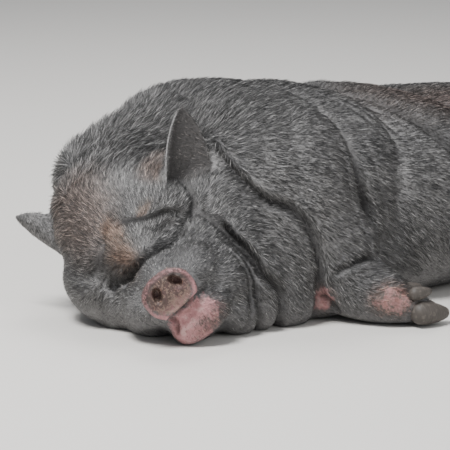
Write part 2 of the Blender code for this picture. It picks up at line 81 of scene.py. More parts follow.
# How far a squarish mass is from an ellipsoid, which has 2
SQUARENESS = 2.5

# The body, as in the part
SHOULDER_HEIGHT = 0.284
LOIN_HEIGHT = 0.237
BODY_HALF_WIDTH = 0.238
SPINE_Y = 0.055
RUMP_X = 0.82
TAIL_STATIONS = [(0.790, 0.055, 0.205, 0.016), (0.822, 0.060, 0.190, 0.013), (0.840, 0.072, 0.150, 0.010),
                 (0.846, 0.082, 0.110, 0.008), (0.848, 0.086, 0.085, 0.006)]
TASSEL_LENGTH = 0.080
TASSEL_LOCKS = 260
LOCK_RADIUS = 0.00075
LOCK_SIDES = 4
LOCK_STEPS = (0, 0.3, 0.6, 0.85)
LOCK_SPREAD = (0.003, 0.013)
LOCK_REACH = (0.55, 1.0)
LOCK_SAG = (0.002, 0.006)
GOLDEN_ANGLE = math.radians(137.5)
CLAW_RADIUS = 0.0160
CLAW_VOXEL = 0.0012
CLAW_STEPS = 9

# Each ear's root and tip, the way it opens, its half width, bend and curl
EARS = (
    (((0.081, 0.030, 0.038), (0.153, 0.036, 0.108)), (0.43, -0.80, -0.34), 0.052, 1.3, -0.008),
    (((-0.086, 0.046, 0.050), (-0.123, 0.098, 0.122)), (0.50, 0.80, 0.10), 0.048, 2.1, 0.010),
)

# Each foot's pastern and toe, the way across it, and its dewclaws' place and reach
FEET = (
    ("foreleg_left", (0.334, -0.236, 0.019), (0.368, -0.241, 0.015),
     (0.14, 0.99, 0), (-0.008, 0, 0.026), (0.022, 0, 0)),
    ("foreleg_right", (0.334, 0.346, 0.019), (0.368, 0.351, 0.015),
     (-0.14, 0.99, 0), (-0.008, 0, 0.026), (0.022, 0, 0)),
    ("hindleg_left", (0.568, -0.209, 0.017), (0.530, -0.212, 0.014),
     (0, 1, 0), (0.030, 0, 0.016), (-0.012, 0, 0.002)),
    ("hindleg_right", (0.568, 0.319, 0.017), (0.530, 0.322, 0.014),
     (0, 1, 0), (0.030, 0, 0.016), (-0.012, 0, 0.002)),
)

# The head, as in the part
EYES_AT = Vector((0.039, -0.052, 0.103))
HEAD_TURN = math.radians(31)
HEAD_ROLL = math.radians(39)
EYE_SPREAD = 0.055
SNOUT_REACH = 0.118
SNOUT_DROP = 0.038
SNOUT_WIDTH = 0.074
SNOUT_HEIGHT = 0.062
SNOUT_THICKNESS = 0.022
NOSTRIL_SPREAD = 0.0145
NOSTRIL_SHIFT = 0.002
NOSTRIL_RISE = 0.009
NOSTRIL_HALF_WIDTH = 0.0058
NOSTRIL_HALF_HEIGHT = 0.0088
NOSTRIL_DEPTH = 0.012
CHIN_DROP = 0.094
EAR_LENGTH = 0.116
EAR_SINK = 0.012
EAR_THICKNESS = 0.0056

# The skin
VALLEY = 0.010
SKIN_VOXEL = 0.0028
SKIN_TRIANGLES = 190000
ROLL_STEPS = 6
CREASE_STEPS = 40
CREASE_EASING = 3
EASE_REACH = 6
# A crease this deep gets the full painted shade on skin and bristles
FULL_CREASE = 0.006

# The coat, its lifts in degrees and swings in radians, and how low skin, bristles and claws may come
COAT_DEPTH = 0.0015
LIFT = 7
TOP_LIFT = 2
CREST_LIFT = 15
LIFT_SPREAD = (0.6, 1.5)
LENGTH_SPREAD = (0.65, 1.3)
WIDTH_SPREAD = (0.7, 1.3)
TAPER = 0.45
SWING = 0.14
WAVE_SWING = 0.05
WAVES = (38.0, 31.0, 45.0)
ROOT_SINK = 0.0003
BAKE_PATCH = 0.003
DARKEST_HAIR = 0.024
SKIN_FLOOR = 0.0005
BRISTLE_FLOOR = 0.0003
CLAW_FLOOR = 0.0004

# Each piece of the coat: seed, bristles, lengths of a bristle, its length and its width
COAT_PIECES = {
    "bristles_short_1": (1, 60000, 1, 0.0080, 0.00054),
    "bristles_short_2": (2, 60000, 1, 0.0080, 0.00054),
    "bristles_short_3": (3, 60000, 1, 0.0080, 0.00054),
    "bristles_short_4": (4, 60000, 1, 0.0088, 0.00054),
    "bristles_short_5": (5, 60000, 1, 0.0088, 0.00050),
    "bristles_long_1": (6, 21500, 2, 0.0110, 0.00070),
    "bristles_long_2": (7, 21500, 2, 0.0110, 0.00070),
    "bristles_long_3": (8, 21500, 2, 0.0122, 0.00068),
}

# What the bristles' grey is multiplied by over each kind of skin
HAIR_TINTS = {"brown": (1.18, 0.92, 0.80), "tan": (1.30, 1.00, 0.78), "pink": (1.35, 0.95, 0.90)}

# Colours of the skin, besides those of the panel
STROKE_SHADE = (0.040, 0.038, 0.038)
WARM_BROWN = (0.062, 0.043, 0.037)
CUP_SHADE = (0.040, 0.038, 0.037)
SNOUT_MOTTLE = (0.036, 0.024, 0.022)
CHAFED_PALE = (0.66, 0.45, 0.42)
CHAFED_DARK = (0.20, 0.10, 0.085)
CREASE_SHADE = (0.010, 0.009, 0.009)

# The camera, placed as the photograph's was
CAMERA_TURN = math.radians(-35)
CAMERA_RISE = math.radians(13)
CAMERA_DISTANCE = 3.5
FRAME_WIDTH = 0.585
AIM_RIGHT = 0.1628
AIM_UP = 0.1287

# The studio: each light's turn and rise in degrees, its distance, size and share of the key's power
LIGHTS = {
    "key": (-70, 62, 2.6, 0.9, 1.0),
    "fill": (20, 30, 3.0, 2.4, 0.26),
    "rim": (150, 55, 2.8, 1.4, 0.4),
}
SKY_COLOUR = (0.80, 0.84, 0.90)
SKY_STRENGTH = 0.38
FLOOR_SIZE = 9

# The nodes that the skin replaces
FLESH = ("head", "snout", "jaw", "ear_left", "ear_right", "eyelids_left", "eyelids_right", "neck",
         "forequarters", "belly", "hindquarters", "foreleg_left", "foreleg_right", "hindleg_left",
         "hindleg_right", "tail")


def head_axes():
    """The head's axes: turned to the pig's left, then rolled on to the right cheek."""
    back = Vector((math.sin(HEAD_TURN), math.cos(HEAD_TURN), 0))
    side = Vector((math.cos(HEAD_TURN), -math.sin(HEAD_TURN), 0))
    up = Vector((0, 0, 1))
    left = side * math.cos(HEAD_ROLL) + up * math.sin(HEAD_ROLL)
    crown = up * math.cos(HEAD_ROLL) - side * math.sin(HEAD_ROLL)
    return Matrix((left, back, crown)).transposed()


def body_origin():
    """Where the body's own origin lies in the frame, found from the snout."""
    axes = head_axes()
    disc = [axes.transposed() @ v.co for v in frame["nodes"]["snout"].data.vertices]
    middle = Vector([(min(p[i] for p in disc) + max(p[i] for p in disc)) / 2 for i in range(3)])
    inside = EYES_AT + axes @ Vector((0, -SNOUT_REACH + SNOUT_THICKNESS / 2, -SNOUT_DROP))
    return axes @ middle - inside


BODY = Matrix.Translation(body_origin())
HEAD = BODY @ Matrix.Translation(EYES_AT) @ head_axes().to_4x4()


def factor(name, description, low, high):
    """A setting that multiplies a measure."""
    return FloatProperty(name=name, description=description, default=1.0, min=low, max=high)


def tint(name, description, default):
    """A colour setting."""
    return FloatVectorProperty(name=name, description=description, subtype="COLOR", size=3,
                               default=default, min=0, max=1)


class PigCoat(bpy.types.PropertyGroup):
    """The skin and the bristles on it."""

    fullness: factor("Fullness", "Share of the bristles of a full coat", 0.01, 1.0)
    length: factor("Length", "Factor on the length of every bristle", 0.2, 1.5)
    width: factor("Width", "Factor on the width of every bristle", 0.2, 2.0)
    dark: tint("Dark Skin", "Colour of the skin under the coat", (0.095, 0.093, 0.094))
    pale: tint("Worn Skin", "Colour where the skin is dusty or worn", (0.250, 0.243, 0.238))
    pink: tint("Bare Pink", "Colour of bare skin on snout, chin and knee", (0.44, 0.215, 0.220))
    tan: tint("Tan", "Colour of the tan patches on snout and forehead", (0.27, 0.18, 0.14))
    hair: tint("Hair", "Colour of the palest bristles", (0.50, 0.49, 0.48))


class PigStage(bpy.types.PropertyGroup):
    """Floor and light."""

    floor: tint("Floor", "Colour of the floor", (0.62, 0.60, 0.57))
    light: FloatProperty(name="Key Light", description="Power of the main light", default=125.0, min=0,
                         unit="POWER")


def settings():
    """The coat's settings."""
    return bpy.context.scene.pig_coat


def placed(name, data):
    """Makes an object and links it to the scene."""
    made = bpy.data.objects.new(name, data)
    bpy.context.scene.collection.objects.link(made)
    return made


def shown(bm, name):
    """Makes a mesh object of the bmesh."""
    mesh = bpy.data.meshes.new(name)
    bm.to_mesh(mesh)
    bm.free()
    return placed(name, mesh)


def bake(obj):
    """Applies the modifiers."""
    graph = bpy.context.evaluated_depsgraph_get()
    graph.update()
    mesh = bpy.data.meshes.new_from_object(obj.evaluated_get(graph))
    obj.modifiers.clear()
    old = obj.data
    obj.data = mesh
    bpy.data.meshes.remove(old)
    return obj


def smooth_path(points, steps):
    """Points along a Catmull-Rom curve through rows of numbers, such as a place and a radius."""
    rows = np.array(points, float)
    rows = np.vstack([2 * rows[0] - rows[1], rows, 2 * rows[-1] - rows[-2]])
    path = []
    for i in range(1, len(rows) - 2):
        a, b, c, d = rows[i - 1 : i + 3]
        for t in np.arange(steps) / steps:
            bend = (2 * a - 5 * b + 4 * c - d) * t * t
            path.append(0.5 * (2 * b + (c - a) * t + bend + (3 * b - a - 3 * c + d) * t**3))
    return [*path, rows[-2]]


class Flesh:
    """Overlapping masses of flesh, kept as arrays until they are made one mesh."""

    def __init__(self):
        ball = bmesh.new()
        bmesh.ops.create_icosphere(ball, subdivisions=4, radius=1)
        self.ball = np.array([v.co for v in ball.verts])
        self.faces = np.array([[v.index for v in f.verts] for f in ball.faces])
        ball.free()
        self.places = []

    def mass(self, frame, centre, radii, turn=(0, 0, 0), squareness=2):
        """Adds one rounded mass, an ellipsoid or, with more squareness, a fuller one."""
        tilt = Euler([math.radians(a) for a in turn]).to_matrix().to_4x4()
        place = np.array(frame @ Matrix.Translation(centre) @ tilt @ Matrix.Diagonal((*radii, 1)))
        swell = (np.abs(self.ball) ** squareness).sum(axis=1) ** (-1 / squareness)
        self.places.append((self.ball * swell[:, None]) @ place[:3, :3].T + place[:3, 3])

    def masses(self, frame, rows, squareness=2):
        """Adds masses from rows of a centre, the radii and any turn."""
        for row in rows:
            self.mass(frame, *row, squareness=squareness)

    def roll(self, frame, stations):
        """Adds a long round mass, such as a fat roll or a leg, from stations of x, y, z and radius."""
        for x, y, z, radius in smooth_path(stations, ROLL_STEPS):
            self.mass(frame, (x, y, z), (radius,) * 3)

    def made(self, name, others=None):
        """One mesh object of all the masses, and of any other shapes given as a bmesh."""
        count = len(self.places)
        index = np.arange(count)[:, None, None] * len(self.ball) + self.faces[None]
        mesh = bpy.data.meshes.new(name)
        fill_mesh(mesh, np.concatenate(self.places), index.reshape(-1, 3))
        bm = others or bmesh.new()
        bm.from_mesh(mesh)
        bpy.data.meshes.remove(mesh)
        return shown(bm, name)


def fill_mesh(mesh, rows, triangles):
    """Gives a new mesh its points and triangles."""
    mesh.vertices.add(len(rows))
    mesh.vertices.foreach_set("co", rows.astype(np.float32).ravel())
    mesh.loops.add(triangles.size)
    mesh.loops.foreach_set("vertex_index", triangles.astype(np.int32).ravel())
    mesh.polygons.add(len(triangles))
    mesh.polygons.foreach_set("loop_start", np.arange(0, triangles.size, 3, dtype=np.int32))
    mesh.update(calc_edges=True)


def fuse(obj, voxel):
    """Makes overlapping masses one skin."""
    remesh = obj.modifiers.new("Fuse", "REMESH")
    remesh.mode = "VOXEL"
    remesh.voxel_size = voxel
    return bake(obj)


def soften(obj, rounds):
    """Softens the valleys between masses and the edges of creases."""
    smooth = obj.modifiers.new("Soften", "SMOOTH")
    smooth.factor = 0.5
    smooth.iterations = rounds
    return bake(obj)


def read(parts, name, size, kind=np.float32):
    """What the mesh's points, loops or triangles say of themselves, as rows of an array."""
    flat = np.empty(len(parts) * size, kind)
    parts.foreach_get(name, flat)
    return flat.reshape(-1, size)


def places(mesh):
    """The mesh's points as an array."""
    return read(mesh.vertices, "co", 3).astype(float)


def normals(mesh):
    """The directions that the mesh's points face, as an array."""
    return read(mesh.vertex_normals, "vector", 3).astype(float)


def set_places(mesh, rows):
    """Moves the mesh's points to the array's places."""
    mesh.vertices.foreach_set("co", rows.astype(np.float32).ravel())
    mesh.update()


def seen_from(frame, rows):
    """World places as places in the head's or the body's own axes."""
    inverse = np.array(frame.inverted())
    return rows @ inverse[:3, :3].T + inverse[:3, 3]


def ramp(values, low, high):
    """0 below low, 1 above high and smooth between. Low may be the greater."""
    t = np.clip((values - low) / (high - low), 0, 1)
    return t * t * (3 - 2 * t)


def patch(rows, centre, radii, soft=0.35):
    """1 inside an ellipsoid and 0 outside, with a soft edge."""
    away = np.sqrt((((rows - np.array(centre)) / np.array(radii)) ** 2).sum(axis=1))
    return ramp(away, 1 + soft, 1 - soft)


def beside(side, stations):
    """Stations on one side of the body, whose second number is the distance from the spine."""
    return [(x, SPINE_Y + side * away, *rest) for x, away, *rest in stations]


def mirrored(side, stations):
    """Stations on one side of the head, whose first number is the distance from its middle."""
    return [(side * away, *rest) for away, *rest in stations]


def along_skin(ways, out):
    """Directions laid flat on the skin, each one long."""
    ways = ways - out * (ways * out).sum(axis=1)[:, None]
    return ways / np.maximum(np.linalg.norm(ways, axis=1), 1e-6)[:, None]


def ear_axes(root, tip, opening):
    """The ways along an ear's leaf, across it and out of its cup."""
    along = (Vector(tip) - Vector(root)).normalized()
    out = Vector(opening)
    out = (out - along * out.dot(along)).normalized()
    return along, along.cross(out), out


def ear_half(half_width, u):
    """Half the width of an ear's leaf, laid flat, at the share u of its length."""
    return half_width * 1.20 * (1 - u * 0.985) ** 0.85 * (0.74 + 0.95 * u)


def ear_turn(bend, u):
    """How far the leaf bends round the cup at the share u of its length, in radians."""
    return bend * (1 - 0.55 * u)


def whole_head(face):
    """1 on the head and 0 on the body, from places in the head's axes."""
    return patch(face, (0, -0.01, -0.01), (0.130, 0.120, 0.120), 0.25)


def eased(route):
    """A route with its small zigzags averaged away and its ends kept."""
    first = np.repeat(route[:1], EASE_REACH, 0)
    last = np.repeat(route[-1:], EASE_REACH, 0)
    padded = np.concatenate([first, route, last])
    sums = [padded[i:i + len(route)] for i in range(2 * EASE_REACH + 1)]
    return sum(sums) / len(sums)


class Creases:
    """Creases and wrinkles that are pressed into a skin along routes laid on it, keeping for each point how
    much painted shade its crease gives.
    """

    def __init__(self, obj):
        self.mesh = obj.data
        self.rows = places(obj.data)
        self.out = normals(obj.data)
        self.depths = np.zeros(len(self.rows))
        self.skin = BVHTree.FromPolygons(self.rows.tolist(), [p.vertices[:] for p in obj.data.polygons])

    def laid(self, route):
        """The route with each point moved to the nearest place on the skin."""
        return np.array([self.skin.find_nearest(Vector(p))[0] for p in route])

    def press(self, frame, stations, width, depth, lip=0.28):
        """Presses one crease: width across, depth in, and a lip that swells beside it."""
        route = self.laid(np.array([frame @ Vector(p) for p in smooth_path(stations, CREASE_STEPS)]))
        for _ in range(CREASE_EASING):
            route = self.laid(eased(route))
        low = route.min(axis=0) - 3 * width
        high = route.max(axis=0) + 3 * width
        near = np.nonzero(((self.rows > low) & (self.rows < high)).all(axis=1))[0]
        rows = self.rows[near]
        gaps = (rows**2).sum(axis=1)[:, None] + (route**2).sum(axis=1)[None] - 2 * rows @ route.T
        first = gaps.argmin(axis=1)
        gap = np.sqrt(np.maximum(gaps[np.arange(len(near)), first], 0)) / width
        ends = np.sin(math.pi * (first + 1) / (len(route) + 1)) ** 0.5
        dip = 0.65 * np.exp(-gap * gap) + 0.35 * np.exp(-6 * gap * gap)
        swell = lip * np.exp(-((gap - 1.7) ** 2)) * (gap < 3)
        # How much painted shade each point gets, more the deeper its crease
        self.depths[near] = np.maximum(self.depths[near], ends * dip * min(1, depth / FULL_CREASE))
        self.rows[near] -= self.out[near] * (depth * ends * (dip - swell))[:, None]

    def press_all(self, frame, rows):
        """Presses creases from rows of the stations, the width, the depth and any lip."""
        for row in rows:
            self.press(frame, *row)

    def finish(self):
        """Moves the skin into its creases."""
        set_places(self.mesh, self.rows)


def trunk_masses(flesh):
    """Neck, shoulders, belly and hips of a fat animal at rest."""
    y = SPINE_Y
    half = BODY_HALF_WIDTH
    flesh.masses(BODY, (
        ((0.175, 0.070, 0.134), (0.130, 0.130, 0.136)),
        ((0.160, 0.122, 0.120), (0.110, 0.100, 0.120)),
        ((0.120, 0.082, 0.173), (0.090, 0.090, 0.082)),
        ((0.085, 0.105, 0.160), (0.075, 0.075, 0.070)),
    ))
    flesh.masses(BODY, (
        ((0.245, y, 0.140), (0.135, half * 0.90, SHOULDER_HEIGHT - 0.140)),
        ((0.330, y, 0.135), (0.130, half * 0.90, 0.139)),
        ((0.420, y, 0.125), (0.230, half * 0.90, 0.129)),
        ((0.455, y, 0.120), (0.150, half * 0.99, 0.133), (0, -8, 0)),
        ((0.625, y, 0.122), (RUMP_X - 0.625, half * 0.93, LOIN_HEIGHT - 0.122)),
        ((0.430, y, 0.070), (0.320, half * 0.90, 0.090)),
    ), squareness=SQUARENESS)
    for side in (-1, 1):
        flesh.mass(BODY, (0.640, y + side * 0.155, 0.110), (0.125, 0.092, 0.110), (side * 8, -14, 0))


def neck_rolls(flesh):
    """Fat rolls that the bent neck presses up on its left side."""
    flesh.roll(BODY, [(0.190, 0.000, 0.200, 0.060), (0.202, -0.070, 0.175, 0.058),
                      (0.212, -0.118, 0.110, 0.055), (0.204, -0.122, 0.040, 0.053)])
    flesh.roll(BODY, [(0.140, -0.035, 0.175, 0.045), (0.155, -0.082, 0.145, 0.045),
                      (0.163, -0.122, 0.090, 0.043), (0.158, -0.130, 0.035, 0.040)])


def leg_masses(flesh):
    """Shoulders, folded forelegs with their feet turned back, and hind legs, all on the floor."""
    y = SPINE_Y
    for side in (-1, 1):
        flesh.masses(BODY, (
            ((0.250, y + side * 0.120, 0.125), (0.088, 0.110, 0.146), (side * -6, 8, 0)),
            ((0.262, y + side * 0.180, 0.040), (0.055, 0.048, 0.046)),
            ((0.247, y + side * 0.206, 0.036), (0.019, 0.020, 0.017)),
        ))
        for stations in (
            [(0.258, 0.165, 0.120, 0.070), (0.275, 0.188, 0.085, 0.062)],
            [(0.272, 0.195, 0.075, 0.056), (0.285, 0.220, 0.050, 0.048), (0.298, 0.245, 0.038, 0.040),
             (0.308, 0.266, 0.033, 0.034)],
            [(0.308, 0.268, 0.030, 0.030), (0.322, 0.283, 0.026, 0.025), (0.338, 0.291, 0.022, 0.020)],
            [(0.745, 0.190, 0.060, 0.045), (0.700, 0.235, 0.035, 0.033), (0.650, 0.255, 0.024, 0.023),
             (0.600, 0.262, 0.019, 0.018), (0.575, 0.264, 0.018, 0.017)],
        ):
            flesh.roll(BODY, beside(side, stations))


def head_masses(flesh):
    """Skull, brow, jowls, muzzle and jaw, in the head's frame."""
    flesh.masses(HEAD, (
        ((-0.005, 0.080, 0.010), (0.105, 0.085, 0.088)),
        ((-0.005, 0.062, 0.050), (0.092, 0.070, 0.066)),
        ((-0.010, 0.088, 0.074), (0.078, 0.060, 0.053)),
        ((0, 0.006, 0.030), (0.050, 0.042, 0.042)),
        ((0.078, 0.048, 0.058), (0.024, 0.024, 0.028)),
    ))
    flesh.roll(HEAD, [(0.060, 0.034, 0.066, 0.019), (0.078, 0.036, 0.066, 0.015),
                      (0.094, 0.036, 0.070, 0.009)])
    flesh.mass(HEAD, (-0.012, -0.002, 0.022), (0.046, 0.042, 0.036))
    flesh.roll(HEAD, [(0, 0.010, -0.035, 0.050), (0, -0.055, -0.038, 0.041), (0, -0.082, -SNOUT_DROP, 0.034)])
    flesh.mass(HEAD, (0, 0.030, -0.080), (0.050, 0.055, 0.050))
    for side in (-1, 1):
        for stations in (
            [(0.026, 0.024, 0.056, 0.036), (0.054, 0.014, 0.036, 0.032), (0.078, 0.020, 0.012, 0.024)],
            [(0.030, -0.026, -0.032, 0.026), (0.066, 0.000, -0.034, 0.030)],
            [(0.026, -0.086, -0.056, 0.015), (0.040, -0.040, -0.070, 0.020)],
        ):
            flesh.roll(HEAD, mirrored(side, stations))
        flesh.masses(HEAD, (
            ((side * 0.036, -0.046, -0.045), (0.036, 0.052, 0.034)),
            ((side * 0.060, 0.038, -0.035), (0.056, 0.062, 0.058)),
            ((side * 0.044, 0.000, -0.065), (0.040, 0.060, 0.042)),
        ))
    flesh.masses(HEAD, (
        ((0.060, 0.030, -0.105), (0.052, 0.070, 0.062)),
        ((0.042, -0.014, -0.122), (0.038, 0.055, 0.045)),
        ((0.055, -0.025, -0.085), (0.038, 0.050, 0.045)),
        ((-0.080, 0.040, -0.005), (0.044, 0.060, 0.056)),
    ))
    flesh.roll(HEAD, [(0, 0.000, -0.090, 0.042), (0, -0.040, -0.095, 0.037),
                      (0.002, -0.072, -CHIN_DROP, 0.026)])
    flesh.mass(HEAD, (0.006, -0.076, -CHIN_DROP), (0.043, 0.031, 0.026), squareness=SQUARENESS)


def snout_disc(flesh):
    """The flat disc at the end of the muzzle."""
    half = SNOUT_THICKNESS / 2
    radii = (SNOUT_WIDTH / 2, half, SNOUT_HEIGHT / 2)
    flesh.mass(HEAD, (0, half - SNOUT_REACH, -SNOUT_DROP), radii, squareness=SQUARENESS)


def ear(bm, root, tip, opening, half_width, bend, curl):
    """Adds a cupped leaf of skin of even thickness, whose edges curl round the cup, wide at its root and
    drawn to a point.
    """
    along, across, out = ear_axes(root, tip, opening)
    leaf = bmesh.ops.create_grid(bm, x_segments=26, y_segments=30, size=0.5)["verts"]
    for v in leaf:
        u = v.co.y + 0.5
        side = v.co.x * 2
        half = ear_half(half_width, u)
        turn = ear_turn(bend, u)
        wide = half * math.sin(turn * side) / turn
        deep = half * (1 - math.cos(turn * side)) / turn
        place = Vector(root) + along * (u * EAR_LENGTH - EAR_SINK)
        v.co = HEAD @ (place + across * wide + out * (deep + curl * u * u))
    faces = list({f for v in leaf for f in v.link_faces})
    bmesh.ops.recalc_face_normals(bm, faces=faces)
    bmesh.ops.solidify(bm, geom=faces, thickness=-EAR_THICKNESS)


def ears():
    """Both ears as one bmesh."""
    bm = bmesh.new()
    for place, opening, half_width, bend, curl in EARS:
        ear(bm, *place, opening, half_width, bend, curl)
    return bm


def trunk_creases(creases):
    """The folds between jowl, neck, shoulder, elbow, belly and hip."""
    creases.press_all(BODY, (
        ([(0.185, -0.03, 0.205), (0.194, -0.085, 0.168), (0.208, -0.125, 0.138), (0.220, -0.145, 0.112),
          (0.231, -0.155, 0.070), (0.228, -0.155, 0.005)], 0.0065, 0.010, 0.2),
        ([(0.085, -0.085, 0.160), (0.119, -0.105, 0.132), (0.140, -0.115, 0.107), (0.155, -0.125, 0.082),
          (0.168, -0.13, 0.045), (0.178, -0.13, 0.002)], 0.007, 0.012, 0.15),
        ([(0.127, -0.12, 0.118), (0.134, -0.13, 0.080), (0.138, -0.135, 0.037), (0.142, -0.138, 0.008)],
         0.0045, 0.006, 0.1),
        ([(0.108, -0.13, 0.095), (0.115, -0.14, 0.060), (0.118, -0.145, 0.016)], 0.0045, 0.005, 0.1),
    ))
    folds = (
        ([(0.306, 0.12, 0.26), (0.302, 0.17, 0.205), (0.312, 0.21, 0.155), (0.326, 0.235, 0.105),
          (0.330, 0.24, 0.070), (0.334, 0.25, 0.040)], 0.009, 0.013),
        ([(0.241, 0.24, 0.070), (0.268, 0.25, 0.083), (0.292, 0.255, 0.091), (0.315, 0.25, 0.081)],
         0.005, 0.007, 0.15),
        ([(0.232, 0.18, 0.060), (0.240, 0.20, 0.048), (0.258, 0.22, 0.040), (0.268, 0.23, 0.025)],
         0.005, 0.009, 0.1),
        ([(0.430, 0, 0.27), (0.448, 0.11, 0.24), (0.468, 0.19, 0.19), (0.515, 0.23, 0.13),
          (0.545, 0.235, 0.07)], 0.012, 0.014),
    )
    wrinkles = [([(x - 0.02, 0.03, 0.28), (x, 0.11, 0.25), (x + 0.02, 0.18, 0.20)], 0.0045, 0.0011)
                for x in (0.415 - 0.020 * i for i in range(4))]
    for side in (-1, 1):
        creases.press_all(BODY, [(beside(side, stations), *rest) for stations, *rest in (*folds, *wrinkles)])


def head_creases(creases):
    """The folds round the eyes, across the nose, below the ear and along the mouth."""
    creases.press_all(HEAD, (
        ([(0.035, 0.03, 0.098), (0.055, 0.033, 0.094), (0.072, 0.035, 0.083)], 0.014, -0.005),
        ([(-0.066, -0.01, -0.004), (-0.030, -0.03, -0.010), (0, -0.04, -0.012), (0.030, -0.03, -0.006),
          (0.066, -0.01, 0.000)], 0.0060, 0.011, 0.10),
        ([(-0.010, -0.03, 0.064), (0.019, -0.035, 0.049), (0.045, -0.03, 0.030), (0.068, -0.015, 0.008)],
         0.0050, 0.0055, 0.15),
        ([(0.074, 0.032, 0.036), (0.082, 0.020, 0.022), (0.080, 0.0, 0.004), (0.066, -0.012, -0.002)],
         0.0060, 0.009, 0.10),
        ([(-0.030, -0.03, 0.050), (-0.055, -0.02, 0.030), (-0.075, 0.0, 0.005)], 0.0070, 0.003, 0.1),
        ([(-0.048, -0.02, -0.004), (-0.066, -0.01, -0.012)], 0.0090, 0.007, 0.1),
    ))
    lids = (
        ([(0.038, -0.04, 0.004), (EYE_SPREAD, -0.04, 0.002), (0.072, -0.03, -0.002)], 0.0045, -0.0045, 0),
        ([(0.036, -0.04, 0.002), (EYE_SPREAD, -0.04, -0.002), (0.072, -0.03, -0.004)], 0.0022, 0.0050, 0),
        ([(0.034, -0.04, 0.011), (0.056, -0.04, 0.010), (0.074, -0.03, 0.005)], 0.0028, 0.0030, 0),
    )
    for side in (-1, 1):
        creases.press_all(HEAD, [(mirrored(side, stations), *rest) for stations, *rest in lids])
    creases.press(HEAD, [(-0.034, -0.10, -0.086), (-0.021, -0.115, -0.073), (0, -0.12, -0.070),
                         (0.024, -0.115, -0.068), (0.046, -0.09, -0.068)], 0.0035, 0.009, 0.15)


def nostrils(rows):
    """Sinks the two nostrils into the snout disc."""
    local = seen_from(HEAD, rows)
    inward = np.array(HEAD.to_3x3() @ Vector((0, 1, 0)))
    front = local[:, 1] < -SNOUT_REACH + 0.010
    for side in (-1, 1):
        x = (local[:, 0] - NOSTRIL_SHIFT - side * NOSTRIL_SPREAD) / NOSTRIL_HALF_WIDTH
        z = (local[:, 2] + SNOUT_DROP - NOSTRIL_RISE) / NOSTRIL_HALF_HEIGHT
        away = np.sqrt((x + 0.45 * side * z) ** 2 + z**2)
        rows = rows + (front * ramp(away, 1.15, 0.5) * NOSTRIL_DEPTH)[:, None] * inward
    return rows


def push(obj, distance):
    """Moves the skin out along its normals."""
    set_places(obj.data, places(obj.data) + normals(obj.data) * distance)


def thin_out(obj):
    """Fewer triangles on the trunk and the most on the head."""
    rows = seen_from(HEAD, places(obj.data))
    on_head = patch(rows, (0, -0.02, -0.01), (0.130, 0.130, 0.125), 0.3)
    group = obj.vertex_groups.new(name="thin")
    for level in range(11):
        near = np.nonzero(np.rint((1 - on_head) * 10) == level)[0]
        group.add(near.tolist(), level / 10, "REPLACE")
    thin = obj.modifiers.new("Thin", "DECIMATE")
    thin.ratio = SKIN_TRIANGLES / sum(len(p.vertices) - 2 for p in obj.data.polygons)
    thin.vertex_group = "thin"
    thin.vertex_group_factor = 2.0
    bake(obj)
    obj.vertex_groups.clear()


def build_skin():
    """One continuous skin over head, ears, trunk, legs and tail."""
    flesh = Flesh()
    trunk_masses(flesh)
    neck_rolls(flesh)
    leg_masses(flesh)
    head_masses(flesh)
    flesh.roll(BODY, TAIL_STATIONS)
    skin = fuse(flesh.made("pig_skin"), SKIN_VOXEL)
    push(skin, VALLEY)
    skin = fuse(skin, SKIN_VOXEL)
    soften(skin, 3)
    push(skin, -VALLEY)
    flesh = Flesh()
    snout_disc(flesh)
    detail = ears()
    detail.from_mesh(skin.data)
    bpy.data.objects.remove(skin)
    skin = fuse(flesh.made("pig_skin", detail), SKIN_VOXEL)
    soften(skin, 3)
    creases = Creases(skin)
    trunk_creases(creases)
    head_creases(creases)
    creases.finish()
    soften(skin, 1)
    set_places(skin.data, nostrils(places(skin.data)))
    # Keeps the crease depths, which the skin and bristle colours turn into painted shade
    keep_numbers(skin.data, "crease", creases.depths)
    thin_out(skin)
    push(skin, -COAT_DEPTH)
    rows = places(skin.data)
    rows[:, 2] = np.maximum(rows[:, 2], SKIN_FLOOR)
    set_places(skin.data, rows)
    return skin


class Survey:
    """A skin's points and the ways they face, and their places in the head's and the body's axes."""

    def __init__(self, mesh):
        self.mesh = mesh
        self.rows = places(mesh)
        self.out = normals(mesh)
        self.face = seen_from(HEAD, self.rows)
        self.body = seen_from(BODY, self.rows)


def on_ears(survey):
    """Shares of each point that lie on an ear's cup, on its rim and anywhere on it."""
    face = survey.face
    out = survey.out @ np.array(HEAD.to_3x3())
    cup, rim, whole = np.zeros((3, len(face)))
    for (root, tip), opening, half_width, bend, curl in EARS:
        along, across, towards = (np.array(way) for way in ear_axes(root, tip, opening))
        away = face - np.array(root)
        u = (away @ along + EAR_SINK) / EAR_LENGTH
        inside = np.clip(u, 0, 1)
        turn = ear_turn(bend, inside)
        half = ear_half(half_width, inside)
        side = away @ across / (half * np.sin(turn) / turn + 0.003)
        fore = ramp(side, -0.35, -0.75)
        side = np.abs(side)
        leaf = half * (1 - np.cos(turn * np.minimum(side, 1))) / turn
        deep = away @ towards - curl * inside**2 - leaf
        near = ramp(u, 0.13, 0.20) * ramp(u, 1.12, 1.06) * ramp(side, 1.35, 1.20)
        near = near * ramp(np.abs(deep), 0.014, 0.009)
        facing = ramp(out @ towards, -0.1, 0.3)
        edge = np.maximum(ramp(side, 0.75, 0.92), fore)
        cup = np.maximum(cup, near * facing * (1 - edge))
        rim = np.maximum(rim, near * edge)
        whole = np.maximum(whole, near)
    return cup, rim, whole


